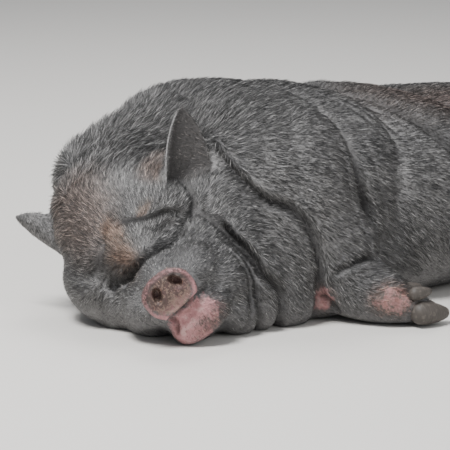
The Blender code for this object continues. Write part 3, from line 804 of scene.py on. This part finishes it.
def markings(survey):
    """Where the skin is pink, tan, brown, worn, bare or an ear's, one number a point for each, and how much
    painted shade it gets in creases and the lower ear cups.
    """
    face, body = survey.face, survey.body
    cup, rim, ear_skin = on_ears(survey)
    disc = patch(face, (0, -SNOUT_REACH, -SNOUT_DROP), (0.043, 0.020, 0.036), 0.10)
    spread = np.hypot(face[:, 0] / (SNOUT_WIDTH / 2), (face[:, 2] + SNOUT_DROP) / (SNOUT_HEIGHT / 2))
    edge = disc * ramp(spread, 0.62, 0.92)
    beside = np.maximum(*(patch(face, (NOSTRIL_SHIFT + side * NOSTRIL_SPREAD, -SNOUT_REACH,
                                       -SNOUT_DROP + NOSTRIL_RISE), (0.019, 0.020, 0.021), 0.4)
                          for side in (-1, 1)))
    chin = patch(face, (0.002, -0.100, -CHIN_DROP + 0.004), (0.038, 0.034, 0.028), 0.42)
    soiled = patch(face, (0.018, -0.100, -CHIN_DROP - 0.008), (0.030, 0.034, 0.018), 0.6) * chin
    armpit = patch(body, (0.237, -0.165, 0.036), (0.015, 0.020, 0.021), 0.55)
    knee = patch(body, (0.294, -0.238, 0.038), (0.031, 0.028, 0.022), 0.55)
    off = 1 - ear_skin
    made = {
        "pink": np.maximum.reduce([
            edge * 0.66, disc * 0.40, chin * 0.85 - soiled * 0.35, armpit * 0.70, knee * 0.44,
            patch(body, (0.600, 0.000, 0.245), (0.120, 0.060, 0.030), 0.7) * 0.22,
        ]),
        "tan": np.maximum.reduce([
            disc * 0.8 * (1 - edge),
            patch(face, (-0.015, -0.030, 0.050), (0.015, 0.040, 0.018), 0.6) * 0.75,
            patch(face, (-0.020, -0.035, 0.026), (0.016, 0.040, 0.022), 0.6) * 0.65,
            patch(face, (0.034, -0.030, 0.047), (0.013, 0.030, 0.006), 0.5) * 0.6,
            knee * 0.45,
        ]) * off,
        "brown": np.maximum.reduce([
            patch(face, (-0.045, 0.010, 0.095), (0.055, 0.080, 0.060), 0.5) * 0.8 * off,
            patch(face, (-0.030, -0.035, 0.012), (0.022, 0.040, 0.022), 0.6) * 0.7,
            patch(face, (0.070, 0.030, 0.066), (0.026, 0.030, 0.020), 0.5) * 0.9 * off,
            patch(body, (0.560, 0.0, 0.250), (0.140, 0.120, 0.060), 0.6) * 0.5,
            soiled * 0.9, knee * 0.9, armpit * 0.8, cup * 0.30,
            beside * disc, disc * ramp(face[:, 2] + SNOUT_DROP, -0.004, 0.014),
        ]),
        "disc": disc,
        "bare": np.maximum.reduce([disc, chin * 0.93 - soiled * 0.35, armpit, knee * 0.85, cup * 0.60]),
        "pale": np.maximum.reduce([
            patch(face, (-0.010, -0.010, 0.085), (0.060, 0.060, 0.016), 0.6) * 0.7 * off,
            patch(face, (0.030, -0.040, 0.020), (0.040, 0.050, 0.020), 0.6) * 0.6,
            patch(face, (-0.095, 0.010, -0.020), (0.040, 0.060, 0.040), 0.6) * 0.5 * off,
            patch(face, (0.080, 0.020, -0.020), (0.030, 0.050, 0.050), 0.6) * 0.5 * off,
            patch(body, (0.300, -0.040, 0.230), (0.090, 0.070, 0.060), 0.7) * 0.5,
            rim * (0.35 + 0.65 * (face[:, 0] > 0)),
        ]),
        "ear": ear_skin,
        "cup": cup,
    }
    creases = read(survey.mesh.attributes["crease"].data, "value", 1)[:, 0]
    # The crease numbers also take painted shade in the lower part of each ear's cup, darker nearer the floor
    return made, np.clip(np.maximum(creases, cup * ramp(body[:, 2], 0.23, 0.17) * 0.6), 0, 1)


def keep_numbers(mesh, name, values):
    """Keeps one number for each point in the mesh, where its material reads it."""
    mesh.attributes.new(name, "FLOAT", "POINT").data.foreach_set("value", values.astype(np.float32))


def lie_of_coat(survey):
    """The way the hair lies at each point: back from the snout, down the flanks and along the feet."""
    face, body = survey.face, survey.body
    down = np.tile([1.0, 0.0, -0.55], (len(face), 1))
    down[:, 2] -= 0.45 * ramp(body[:, 2], 0.16, 0.05)
    rump = ramp(body[:, 0], 0.60, 0.80)[:, None]
    down = down * (1 - rump) + rump * np.array([0.5, 0.0, -1.0])
    for foot in FEET:
        pastern, toe = np.array(foot[1]), np.array(foot[2])
        way = toe - pastern
        way /= np.linalg.norm(way)
        gap = np.linalg.norm(body - pastern, axis=1)
        near = ramp(gap, 0.12, 0.05)[:, None]
        down = down * (1 - near) + near * way
    axes = np.array(HEAD.to_3x3())
    back = [np.clip(face[:, 0] * 6, -0.5, 0.5), np.ones(len(face)), 0.35 * np.sign(face[:, 2] - 0.01)]
    back = np.stack(back, axis=1) @ axes.T
    on_head = whole_head(face)[:, None]
    return along_skin(down * (1 - on_head) + back * on_head, survey.out)


def coat_measures(survey, marks):
    """Length, spacing and lift of the coat at each point."""
    rows, out, face, body = survey.rows, survey.out, survey.face, survey.body
    on_head = whole_head(face)
    muzzle = ramp(face[:, 1], -0.03, -0.10) * on_head
    crest = ramp(body[:, 2], 0.10, 0.20) * ramp(body[:, 0], 0.30, 0.12) * ramp(face[:, 1], 0.02, 0.08)
    top = ramp(out[:, 2], 0.3, 0.8)
    length = (1 - 0.25 * on_head) * (1 - 0.40 * muzzle) + 0.50 * crest
    length *= 1 - 0.45 * ramp(body[:, 2], 0.055, 0.020)
    lift = LIFT + TOP_LIFT * top + CREST_LIFT * crest
    length *= (1 - 0.45 * marks["ear"]) * (1 - 0.5 * marks["crease"])
    dense = (0.75 + 1.15 * on_head) * (1 - 0.94 * marks["bare"]) * ramp(rows[:, 2], 0.002, 0.006)
    dense *= 1 - 0.8 * ramp(out[:, 2], -0.2, -0.6)
    return length, dense, lift


def corners(mesh):
    """The three points of each triangle."""
    mesh.calc_loop_triangles()
    return read(mesh.loop_triangles, "vertices", 3, np.int32)


def unwrap(skin):
    """Unwraps the skin's own shape and gives the place of each triangle's corners on it."""
    bpy.context.view_layer.objects.active = skin
    skin.select_set(True)
    bpy.ops.object.mode_set(mode="EDIT")
    bpy.ops.mesh.select_all(action="SELECT")
    bpy.ops.uv.smart_project(angle_limit=math.radians(66), island_margin=0.002)
    bpy.ops.object.mode_set(mode="OBJECT")
    layer = skin.data.uv_layers.active
    flat = read(layer.uv, "vector", 2)
    skin.data.calc_loop_triangles()
    loops = read(skin.data.loop_triangles, "loops", 3, np.int32)
    skin.data.uv_layers.remove(layer)
    return flat[loops]


class Coat:
    """Sets bristles on the skin and joins them as pieces."""

    SIDES = 3

    def __init__(self, skin, survey, marks):
        self.rows = survey.rows
        self.out = survey.out
        self.lie = lie_of_coat(survey)
        self.length, self.dense, self.lift = coat_measures(survey, marks)
        self.marks = marks
        self.corners = corners(skin.data)
        self.sheet = unwrap(skin)
        a, b, c = (self.rows[self.corners[:, k]] for k in range(3))
        area = np.linalg.norm(np.cross(b - a, c - a), axis=1)
        self.share = np.cumsum(area * self.dense[self.corners].mean(axis=1))

    def roots(self, rng, count):
        """Random places on the skin, as a triangle and the weights of its corners."""
        tri = np.searchsorted(self.share, rng.random(count) * self.share[-1])
        u, v = rng.random((2, count))
        over = u + v > 1
        u[over], v[over] = 1 - u[over], 1 - v[over]
        return tri, np.stack([1 - u - v, u, v], axis=1)

    def at(self, values, tri, weights):
        """A number or vector of the skin's points, read at the roots."""
        picked = values[self.corners[tri]]
        if picked.ndim == 2:
            return (picked * weights).sum(axis=1)
        return (picked * weights[:, :, None]).sum(axis=1)

    def piece(self, name, seed, count, levels, long, wide):
        """One mesh of bristles, each a three-sided spike that bends down on to the coat."""
        rng = np.random.default_rng(seed)
        coat = settings()
        count, long, wide = int(count * coat.fullness), long * coat.length, wide * coat.width
        tri, weights = self.roots(rng, count)
        root = self.at(self.rows, tri, weights)
        out = self.at(self.out, tri, weights)
        out /= np.linalg.norm(out, axis=1)[:, None]
        lie = self.at(self.lie, tri, weights)
        across = np.cross(out, lie)
        swing = (rng.normal(0, SWING, count) + WAVE_SWING * np.sin(root @ WAVES))[:, None]
        lie = along_skin(lie * np.cos(swing) + across * np.sin(swing), out)
        across = np.cross(out, lie)
        lift = np.radians(self.at(self.lift, tri, weights) * rng.uniform(*LIFT_SPREAD, count))[:, None]
        length = (long * self.at(self.length, tri, weights) * rng.uniform(*LENGTH_SPREAD, count))[:, None]
        radius = wide / 2 * rng.uniform(*WIDTH_SPREAD, count)[:, None] * (0.55 + 0.45 * length / long)
        rings = []
        spot = root - out * ROOT_SINK
        for level in range(levels):
            size = radius * (1 - TAPER * level / levels)
            for side in range(self.SIDES):
                angle = 2 * math.pi * side / self.SIDES
                rings.append(spot + (across * math.cos(angle) + out * math.sin(angle)) * size)
            rise = lift * (1.5 - level / max(levels - 1, 1)) if levels > 1 else lift
            spot = spot + (lie * np.cos(rise) + out * np.sin(rise)) * length / levels
        rings.append(spot)
        points = np.stack(rings, axis=1)
        points[:, :, 2] = np.maximum(points[:, :, 2], BRISTLE_FLOOR)
        faces, patches = self.pattern(levels)
        made = self.join(name, points, faces)
        sheet = (self.sheet[tri] * weights[:, :, None]).sum(axis=1)
        loops = sheet[:, None, :] + patches[None, :, :] * BAKE_PATCH
        layer = made.data.uv_layers.new(name="OFBake")
        layer.uv.foreach_set("vector", loops.astype(np.float32).ravel())
        self.paint(made, rng, tri, weights, points.shape[1])
        return made

    def pattern(self, levels):
        """The triangles of one bristle and where their corners lie on its patch."""
        n = self.SIDES
        tip = levels * n
        faces = []
        for level in range(levels - 1):
            for i in range(n):
                a, b = level * n + i, level * n + (i + 1) % n
                faces += [(a, b, b + n), (a, b + n, a + n)]
        last = (levels - 1) * n
        faces += [(last + i, last + (i + 1) % n, tip) for i in range(n)]
        spots = [(i / (n - 1) - 0.5, level / levels - 0.5) for level in range(levels) for i in range(n)]
        spots.append((0.0, 0.5))
        return np.array(faces), np.array([spots[i] for face in faces for i in face])

    def join(self, name, points, faces):
        """Makes one mesh of all the bristles."""
        count, each = points.shape[:2]
        index = (np.arange(count)[:, None, None] * each + faces[None]).reshape(-1, 3)
        mesh = bpy.data.meshes.new(name)
        fill_mesh(mesh, points.reshape(-1, 3), index)
        mesh.shade_smooth()
        return placed(name, mesh)

    def paint(self, made, rng, tri, weights, each):
        """Gives each bristle its own grey, warmer where the skin below is tan, brown or pink, and darker with
        painted shade in creases and the lower ear cups.
        """
        pale = np.array(settings().hair)
        worn = self.at(self.marks["pale"], tri, weights)[:, None]
        share = rng.random(len(tri))[:, None] ** (3.2 - 1.8 * worn)
        colour = DARKEST_HAIR + (pale - DARKEST_HAIR) * share
        # Painted shade: bristles are darkened in creases and in the lower ear cups
        colour = colour * (1 - 0.8 * self.at(self.marks["crease"], tri, weights)[:, None])
        for name, tint in HAIR_TINTS.items():
            mark = self.at(self.marks[name], tri, weights)[:, None]
            colour = colour * (1 - mark + mark * np.array(tint))
        rows = np.concatenate([colour, np.ones((len(tri), 1))], axis=1).repeat(each, axis=0)
        layer = made.data.attributes.new("colour", "FLOAT_COLOR", "POINT")
        layer.data.foreach_set("color", rows.astype(np.float32).ravel())


def blunt_claw(name, heel, toe, radius):
    """One wedge of horn."""
    heel, toe = Vector(heel), Vector(toe)
    flesh = Flesh()
    for i in range(CLAW_STEPS):
        t = i / (CLAW_STEPS - 1)
        size = radius * (1 - 0.45 * t * t)
        flesh.mass(BODY, heel + (toe - heel) * t, (size, size, size * 1.05))
    return soften(fuse(flesh.made(name), CLAW_VOXEL), 4)


def build_claws(name, pastern, toe, across, spur, spur_way):
    """Both claws and both dewclaws of one foot."""
    pastern, toe, across = Vector(pastern), Vector(toe), Vector(across)
    pieces = []
    for side in (-1, 1):
        heel = pastern + across * side * CLAW_RADIUS
        tip = toe + across * side * CLAW_RADIUS * 0.9
        pieces.append(blunt_claw(name, heel, tip, CLAW_RADIUS * 0.93))
        heel = pastern + Vector(spur) + across * side * CLAW_RADIUS * 0.8
        pieces.append(blunt_claw(name, heel, heel + Vector(spur_way), CLAW_RADIUS * 0.55))
    joined = bmesh.new()
    for piece in pieces:
        joined.from_mesh(piece.data)
        bpy.data.objects.remove(piece)
    for v in joined.verts:
        v.co.z = max(v.co.z, CLAW_FLOOR)
    claws = shown(joined, f"{name}_claws")
    claws.data.shade_smooth()
    return claws


def build_tassel():
    """The brush of long hair at the tail's end, many fine locks in a spiral."""
    rng = random.Random(11)
    end = Vector(TAIL_STATIONS[-1][:3])
    bm = bmesh.new()
    for i in range(TASSEL_LOCKS):
        angle = i * GOLDEN_ANGLE
        out = Vector((math.cos(angle), math.sin(angle), 0))
        across = out.orthogonal().normalized()
        level = i / TASSEL_LOCKS
        root = end + out * 0.0035 - Vector((0, 0, 0.002 + 0.026 * level))
        tip = end + out * rng.uniform(*LOCK_SPREAD)
        tip -= Vector((-0.004, 0, TASSEL_LENGTH * rng.uniform(*LOCK_REACH)))
        sag = out * rng.uniform(*LOCK_SAG)
        rings = []
        for t in LOCK_STEPS:
            spot = root.lerp(tip, t) + sag * (4 * t * (1 - t))
            size = LOCK_RADIUS * (1 - 0.55 * t)
            ring = []
            for side in range(LOCK_SIDES):
                turn = math.radians(360 / LOCK_SIDES * side)
                place = spot + across * math.cos(turn) * size + out * math.sin(turn) * size * 0.6
                ring.append(bm.verts.new(BODY @ place))
            rings.append(ring)
        for low, high in zip(rings, rings[1:]):
            for k in range(LOCK_SIDES):
                bm.faces.new((low[k], low[(k + 1) % LOCK_SIDES], high[(k + 1) % LOCK_SIDES], high[k]))
        point = bm.verts.new(BODY @ tip)
        for k in range(LOCK_SIDES):
            bm.faces.new((rings[-1][k], rings[-1][(k + 1) % LOCK_SIDES], point))
        bm.faces.new(rings[0][::-1])
    bmesh.ops.recalc_face_normals(bm, faces=bm.faces)
    return shown(bm, "tassel")


class Value:
    """A number socket of a shader, for use in sums."""

    def __init__(self, graph, socket):
        self.graph = graph
        self.socket = socket

    def math(self, operation, *others):
        """One Math node."""
        return self.graph.node("ShaderNodeMath", {"operation": operation}, *others)

    def __add__(self, other):
        return self.math("ADD", self, other)

    def __sub__(self, other):
        return self.math("SUBTRACT", self, other)

    def __rsub__(self, other):
        return self.math("SUBTRACT", other, self)

    def __mul__(self, other):
        return self.math("MULTIPLY", self, other)

    def step(self, low, high):
        """0 below low, 1 above high and smooth between."""
        options = {"interpolation_type": "SMOOTHSTEP"}
        return self.graph.node("ShaderNodeMapRange", options, self, low, high, 0.0, 1.0)

    def within(self):
        """Held between 0 and 1."""
        return self.graph.node("ShaderNodeClamp", {}, self)

    __radd__ = __add__
    __rmul__ = __mul__


class Graph:
    """A material whose nodes are made from expressions."""

    def __init__(self, name):
        self.material = bpy.data.materials.new(name)
        self.material.use_nodes = True
        self.tree = self.material.node_tree
        self.shader = self.tree.nodes["Principled BSDF"]

    def feed(self, socket, value):
        """Links a value to a socket, or sets it."""
        if isinstance(value, Value):
            self.tree.links.new(value.socket, socket)
        else:
            socket.default_value = value

    def node(self, kind, options, *values, output=0):
        """Makes one node, with its options set first and its sockets fed in order."""
        made = self.tree.nodes.new(kind)
        for key, value in options.items():
            setattr(made, key, value)
        for socket, value in zip(made.inputs, values):
            if value is not None:
                self.feed(socket, value)
        return Value(self, made.outputs[output])

    def place(self):
        """The place on the object."""
        return self.node("ShaderNodeTexCoord", {}, output=3)

    def number(self, name):
        """A number kept in the mesh."""
        return self.node("ShaderNodeAttribute", {"attribute_name": name}, output=2)

    def colour(self, name):
        """A colour kept in the mesh."""
        return self.node("ShaderNodeAttribute", {"attribute_name": name}, output=0)

    def noise(self, place, scale, detail):
        """Soft clouds, 0 to 1."""
        return self.node("ShaderNodeTexNoise", {}, place, None, scale, detail, 0.55)

    def cells(self, place, scale):
        """The distance to the nearest of many scattered points."""
        return self.node("ShaderNodeTexVoronoi", {}, place, None, scale)

    def stretched(self, place, turn, size):
        """Coordinates turned, then drawn out along x."""
        return self.node("ShaderNodeMapping", {"vector_type": "TEXTURE"}, place, (0, 0, 0), turn, size)

    def mix(self, low, high, share):
        """A colour between two."""
        made = self.tree.nodes.new("ShaderNodeMix")
        made.data_type = "RGBA"
        self.feed(made.inputs["Factor"], share)
        for socket, value in ((made.inputs[6], low), (made.inputs[7], high)):
            self.feed(socket, value if isinstance(value, Value) else (*value[:3], 1))
        return Value(self, made.outputs[2])

    def bump(self, height, strength, distance, normal=None):
        """A normal tilted by a height, on top of another."""
        made = self.tree.nodes.new("ShaderNodeBump")
        made.inputs["Strength"].default_value = strength
        made.inputs["Distance"].default_value = distance
        self.feed(made.inputs["Height"], height)
        if normal is not None:
            self.feed(made.inputs["Normal"], normal)
        return Value(self, made.outputs["Normal"])

    def finish(self, colour, roughness, specular, normal=None):
        """Feeds the shader and gives the material."""
        self.feed(self.shader.inputs["Base Color"], colour)
        self.feed(self.shader.inputs["Roughness"], roughness)
        self.shader.inputs["Specular IOR Level"].default_value = specular
        if normal is not None:
            self.feed(self.shader.inputs["Normal"], normal)
        return self.material


def skin_material():
    """Dark grey hide with dust and bristle bases, tan and pink where it is bare, and painted shade in creases
    and the lower ear cups.
    """
    coat = settings()
    g = Graph("pig_skin")
    place = g.place()
    broad = g.noise(place, 9, 3)
    middle = g.noise(place, 42, 4)
    mottle = g.noise(place, 95, 4)
    fine = g.noise(place, 330, 4)
    streaks = g.noise(g.stretched(place, (0, math.radians(28), 0), (5.0, 1.0, 1.0)), 520, 3)
    pores = g.cells(place, 520)
    disc = g.number("disc")
    dust = broad.step(0.42, 0.66) * 0.35 + middle.step(0.45, 0.75) * 0.25 + g.number("pale") * 0.55
    base = g.mix(coat.dark, coat.pale, (dust + streaks.step(0.55, 0.75) * 0.3).within())
    brown = (g.number("brown") * (0.55 + middle * 0.8)).within()
    tan = (g.number("tan") + (fine - 0.5) * 0.6 + (mottle - 0.5) * 0.7).step(0.15, 0.95)
    pink = (g.number("pink") + (fine - 0.5) * 0.6 + (mottle - 0.5) * 0.9).step(0.28, 0.72)
    spots = (disc * mottle.step(0.48, 0.62) * 0.4 + disc * brown * (0.30 + fine.step(0.40, 0.56))).within()
    chafed = g.number("bare") * (1 - disc) * pink
    # The CREASE_SHADE layer is painted shade in the creases and the lower ear cups
    for colour, share in (
        (STROKE_SHADE, streaks.step(0.50, 0.36) * 0.75),
        (WARM_BROWN, brown * 0.8),
        (CUP_SHADE, (g.number("cup") * (0.40 + mottle * 0.7)).within()),
        (coat.tan, tan),
        (coat.pink, pink),
        (SNOUT_MOTTLE, spots * 0.85),
        (CHAFED_PALE, chafed * mottle.step(0.50, 0.36) * 0.6),
        (CHAFED_DARK, (chafed * (mottle.step(0.50, 0.64) * 0.6 + brown * 0.6)).within()),
        (CREASE_SHADE, (g.number("crease") * 0.9).within()),
    ):
        base = g.mix(base, colour, share)
    height = fine * 0.5 + streaks * 0.8 + pores * 0.25 * (1 - disc * 0.5)
    normal = g.bump(height, 0.75, 0.0014)
    normal = g.bump(g.noise(place, 70, 5), 0.35, 0.004, normal)
    normal = g.bump(g.noise(place, 150, 3) * g.number("bare"), 0.6, 0.004, normal)
    rough = 0.62 - g.number("bare") * 0.14 + fine * 0.1
    return g.finish(base, rough, 0.35, normal)


def coat_material():
    """Stiff grey bristles, each with a shade of its own."""
    g = Graph("pig_bristles")
    return g.finish(g.colour("colour"), 0.45, 0.45)


def claw_material():
    """Dull dark horn with rings of growth and pale scuffs."""
    g = Graph("pig_claws")
    place = g.place()
    rings = g.noise(g.stretched(place, (0, 0, math.radians(20)), (0.35, 3.0, 3.0)), 210, 2)
    scuffs = g.noise(place, 160, 4)
    pale = (rings * 0.45 + scuffs.step(0.5, 0.72) * 0.5).within()
    base = g.mix((0.040, 0.034, 0.030), (0.135, 0.118, 0.102), pale)
    return g.finish(base, 0.55, 0.4, g.bump(rings + scuffs * 0.4, 0.4, 0.001))


def tassel_material():
    """Dark coarse tail hair."""
    g = Graph("pig_tassel")
    place = g.place()
    strands = g.noise(g.stretched(place, (0, 0, 0), (1.0, 1.0, 8.0)), 1400, 2)
    base = g.mix((0.022, 0.019, 0.018), (0.16, 0.145, 0.135), strands.step(0.4, 0.75))
    return g.finish(base, 0.5, 0.4, g.bump(strands, 0.4, 0.0006))


def direction(turn, rise):
    """The way from the pig at a turn from its left side and a rise above the floor."""
    level = math.cos(rise)
    return Vector((math.sin(turn) * level, -math.cos(turn) * level, math.sin(rise)))


def aimed(made, aim, towards, distance):
    """Puts a camera or a light at a distance from the place that it is aimed at."""
    made.location = aim + towards * distance
    made.rotation_euler = towards.to_track_quat("Z", "Y").to_euler()
    return made


def build_camera():
    """Sets the camera and gives the place that it looks at."""
    back = direction(CAMERA_TURN, CAMERA_RISE)
    right = Vector((math.cos(CAMERA_TURN), math.sin(CAMERA_TURN), 0))
    aim = BODY @ (right * AIM_RIGHT + back.cross(right) * AIM_UP)
    data = bpy.data.cameras.new("camera")
    data.lens = data.sensor_width * CAMERA_DISTANCE / FRAME_WIDTH
    bpy.context.scene.camera = aimed(placed("camera", data), aim, back, CAMERA_DISTANCE)
    return aim


def build_light(name, aim, turn, rise, distance, size, power):
    """One soft square light that faces the pig."""
    data = bpy.data.lights.new(name, "AREA")
    data.size = size
    data.energy = power
    aimed(placed(name, data), aim, direction(math.radians(turn), math.radians(rise)), distance)


def build_stage():
    """Floor, lights, sky and camera."""
    stage = bpy.context.scene.pig_stage
    aim = build_camera()
    bm = bmesh.new()
    bmesh.ops.create_grid(bm, x_segments=2, y_segments=2, size=FLOOR_SIZE)
    floor = shown(bm, "floor")
    floor.data.materials.append(Graph("floor").finish((*stage.floor, 1), 0.9, 0.5))
    for name, (*measures, share) in LIGHTS.items():
        build_light(name, aim, *measures, stage.light * share)
    world = bpy.data.worlds.new("studio")
    world.use_nodes = True
    sky = world.node_tree.nodes["Background"]
    sky.inputs["Color"].default_value = (*SKY_COLOUR, 1)
    sky.inputs["Strength"].default_value = SKY_STRENGTH
    bpy.context.scene.world = world


def dress(piece, material, nodes=()):
    """Gives a piece its material and its place in the frame."""
    piece.data.materials.append(material)
    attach(piece, "root")
    if nodes:
        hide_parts(*nodes)


class PIG_OT_hide(bpy.types.Operator):
    """Build the skin and the coat of bristles on it"""

    bl_idname = "pig.hide"
    bl_label = "Build Skin and Coat"
    bl_options = {"REGISTER", "UNDO"}

    def execute(self, context):
        skin = build_skin()
        survey = Survey(skin.data)
        marks, creases = markings(survey)
        # The crease numbers now also hold the painted shade of the lower ear cups
        skin.data.attributes["crease"].data.foreach_set("value", creases.astype(np.float32))
        for name, values in marks.items():
            keep_numbers(skin.data, name, values)
        skin.data.shade_smooth()
        dress(skin, skin_material(), FLESH)
        coat = Coat(skin, survey, {**marks, "crease": creases})
        finish = coat_material()
        for name, measures in COAT_PIECES.items():
            dress(coat.piece(name, *measures), finish)
        return {"FINISHED"}


class PIG_OT_claws(bpy.types.Operator):
    """Build the claws and dewclaws of all four feet"""

    bl_idname = "pig.claws"
    bl_label = "Build Claws"
    bl_options = {"REGISTER", "UNDO"}

    def execute(self, context):
        finish = claw_material()
        for name, *measures in FEET:
            nodes = [f"{name}_{kind}_{i}" for kind in ("claw", "dewclaw") for i in (1, 2)]
            dress(build_claws(name, *measures), finish, nodes)
        return {"FINISHED"}


class PIG_OT_tassel(bpy.types.Operator):
    """Build the brush of hair at the end of the tail"""

    bl_idname = "pig.tassel"
    bl_label = "Build Tail Tassel"
    bl_options = {"REGISTER", "UNDO"}

    def execute(self, context):
        dress(build_tassel(), tassel_material(), ["tail_tassel"])
        return {"FINISHED"}


class PIG_OT_stage(bpy.types.Operator):
    """Build the floor, the lights and the camera"""

    bl_idname = "pig.stage"
    bl_label = "Build Stage"
    bl_options = {"REGISTER", "UNDO"}

    def execute(self, context):
        build_stage()
        return {"FINISHED"}


class PIG_PT_panel(bpy.types.Panel):
    """Steps that build the pig, with their settings"""

    bl_idname = "PIG_PT_panel"
    bl_label = "Sleeping Pig"
    bl_space_type = "VIEW_3D"
    bl_region_type = "UI"
    bl_category = "Pig"

    def draw(self, context):
        for group in (context.scene.pig_coat, context.scene.pig_stage):
            for name in group.bl_rna.properties.keys():
                if name not in ("rna_type", "name"):
                    self.layout.prop(group, name)
        for operator in OPERATORS:
            self.layout.operator(operator.bl_idname)


OPERATORS = (PIG_OT_hide, PIG_OT_claws, PIG_OT_tassel, PIG_OT_stage)
CLASSES = (PigCoat, PigStage, *OPERATORS, PIG_PT_panel)


def register():
    for cls in CLASSES:
        bpy.utils.register_class(cls)
    bpy.types.Scene.pig_coat = PointerProperty(type=PigCoat)
    bpy.types.Scene.pig_stage = PointerProperty(type=PigStage)


def unregister():
    del bpy.types.Scene.pig_stage
    del bpy.types.Scene.pig_coat
    for cls in reversed(CLASSES):
        bpy.utils.unregister_class(cls)


def main():
    register()
    bpy.ops.pig.hide()
    bpy.ops.pig.claws()
    bpy.ops.pig.tassel()
    bpy.ops.pig.stage()


if __name__ == "__main__":
    main()
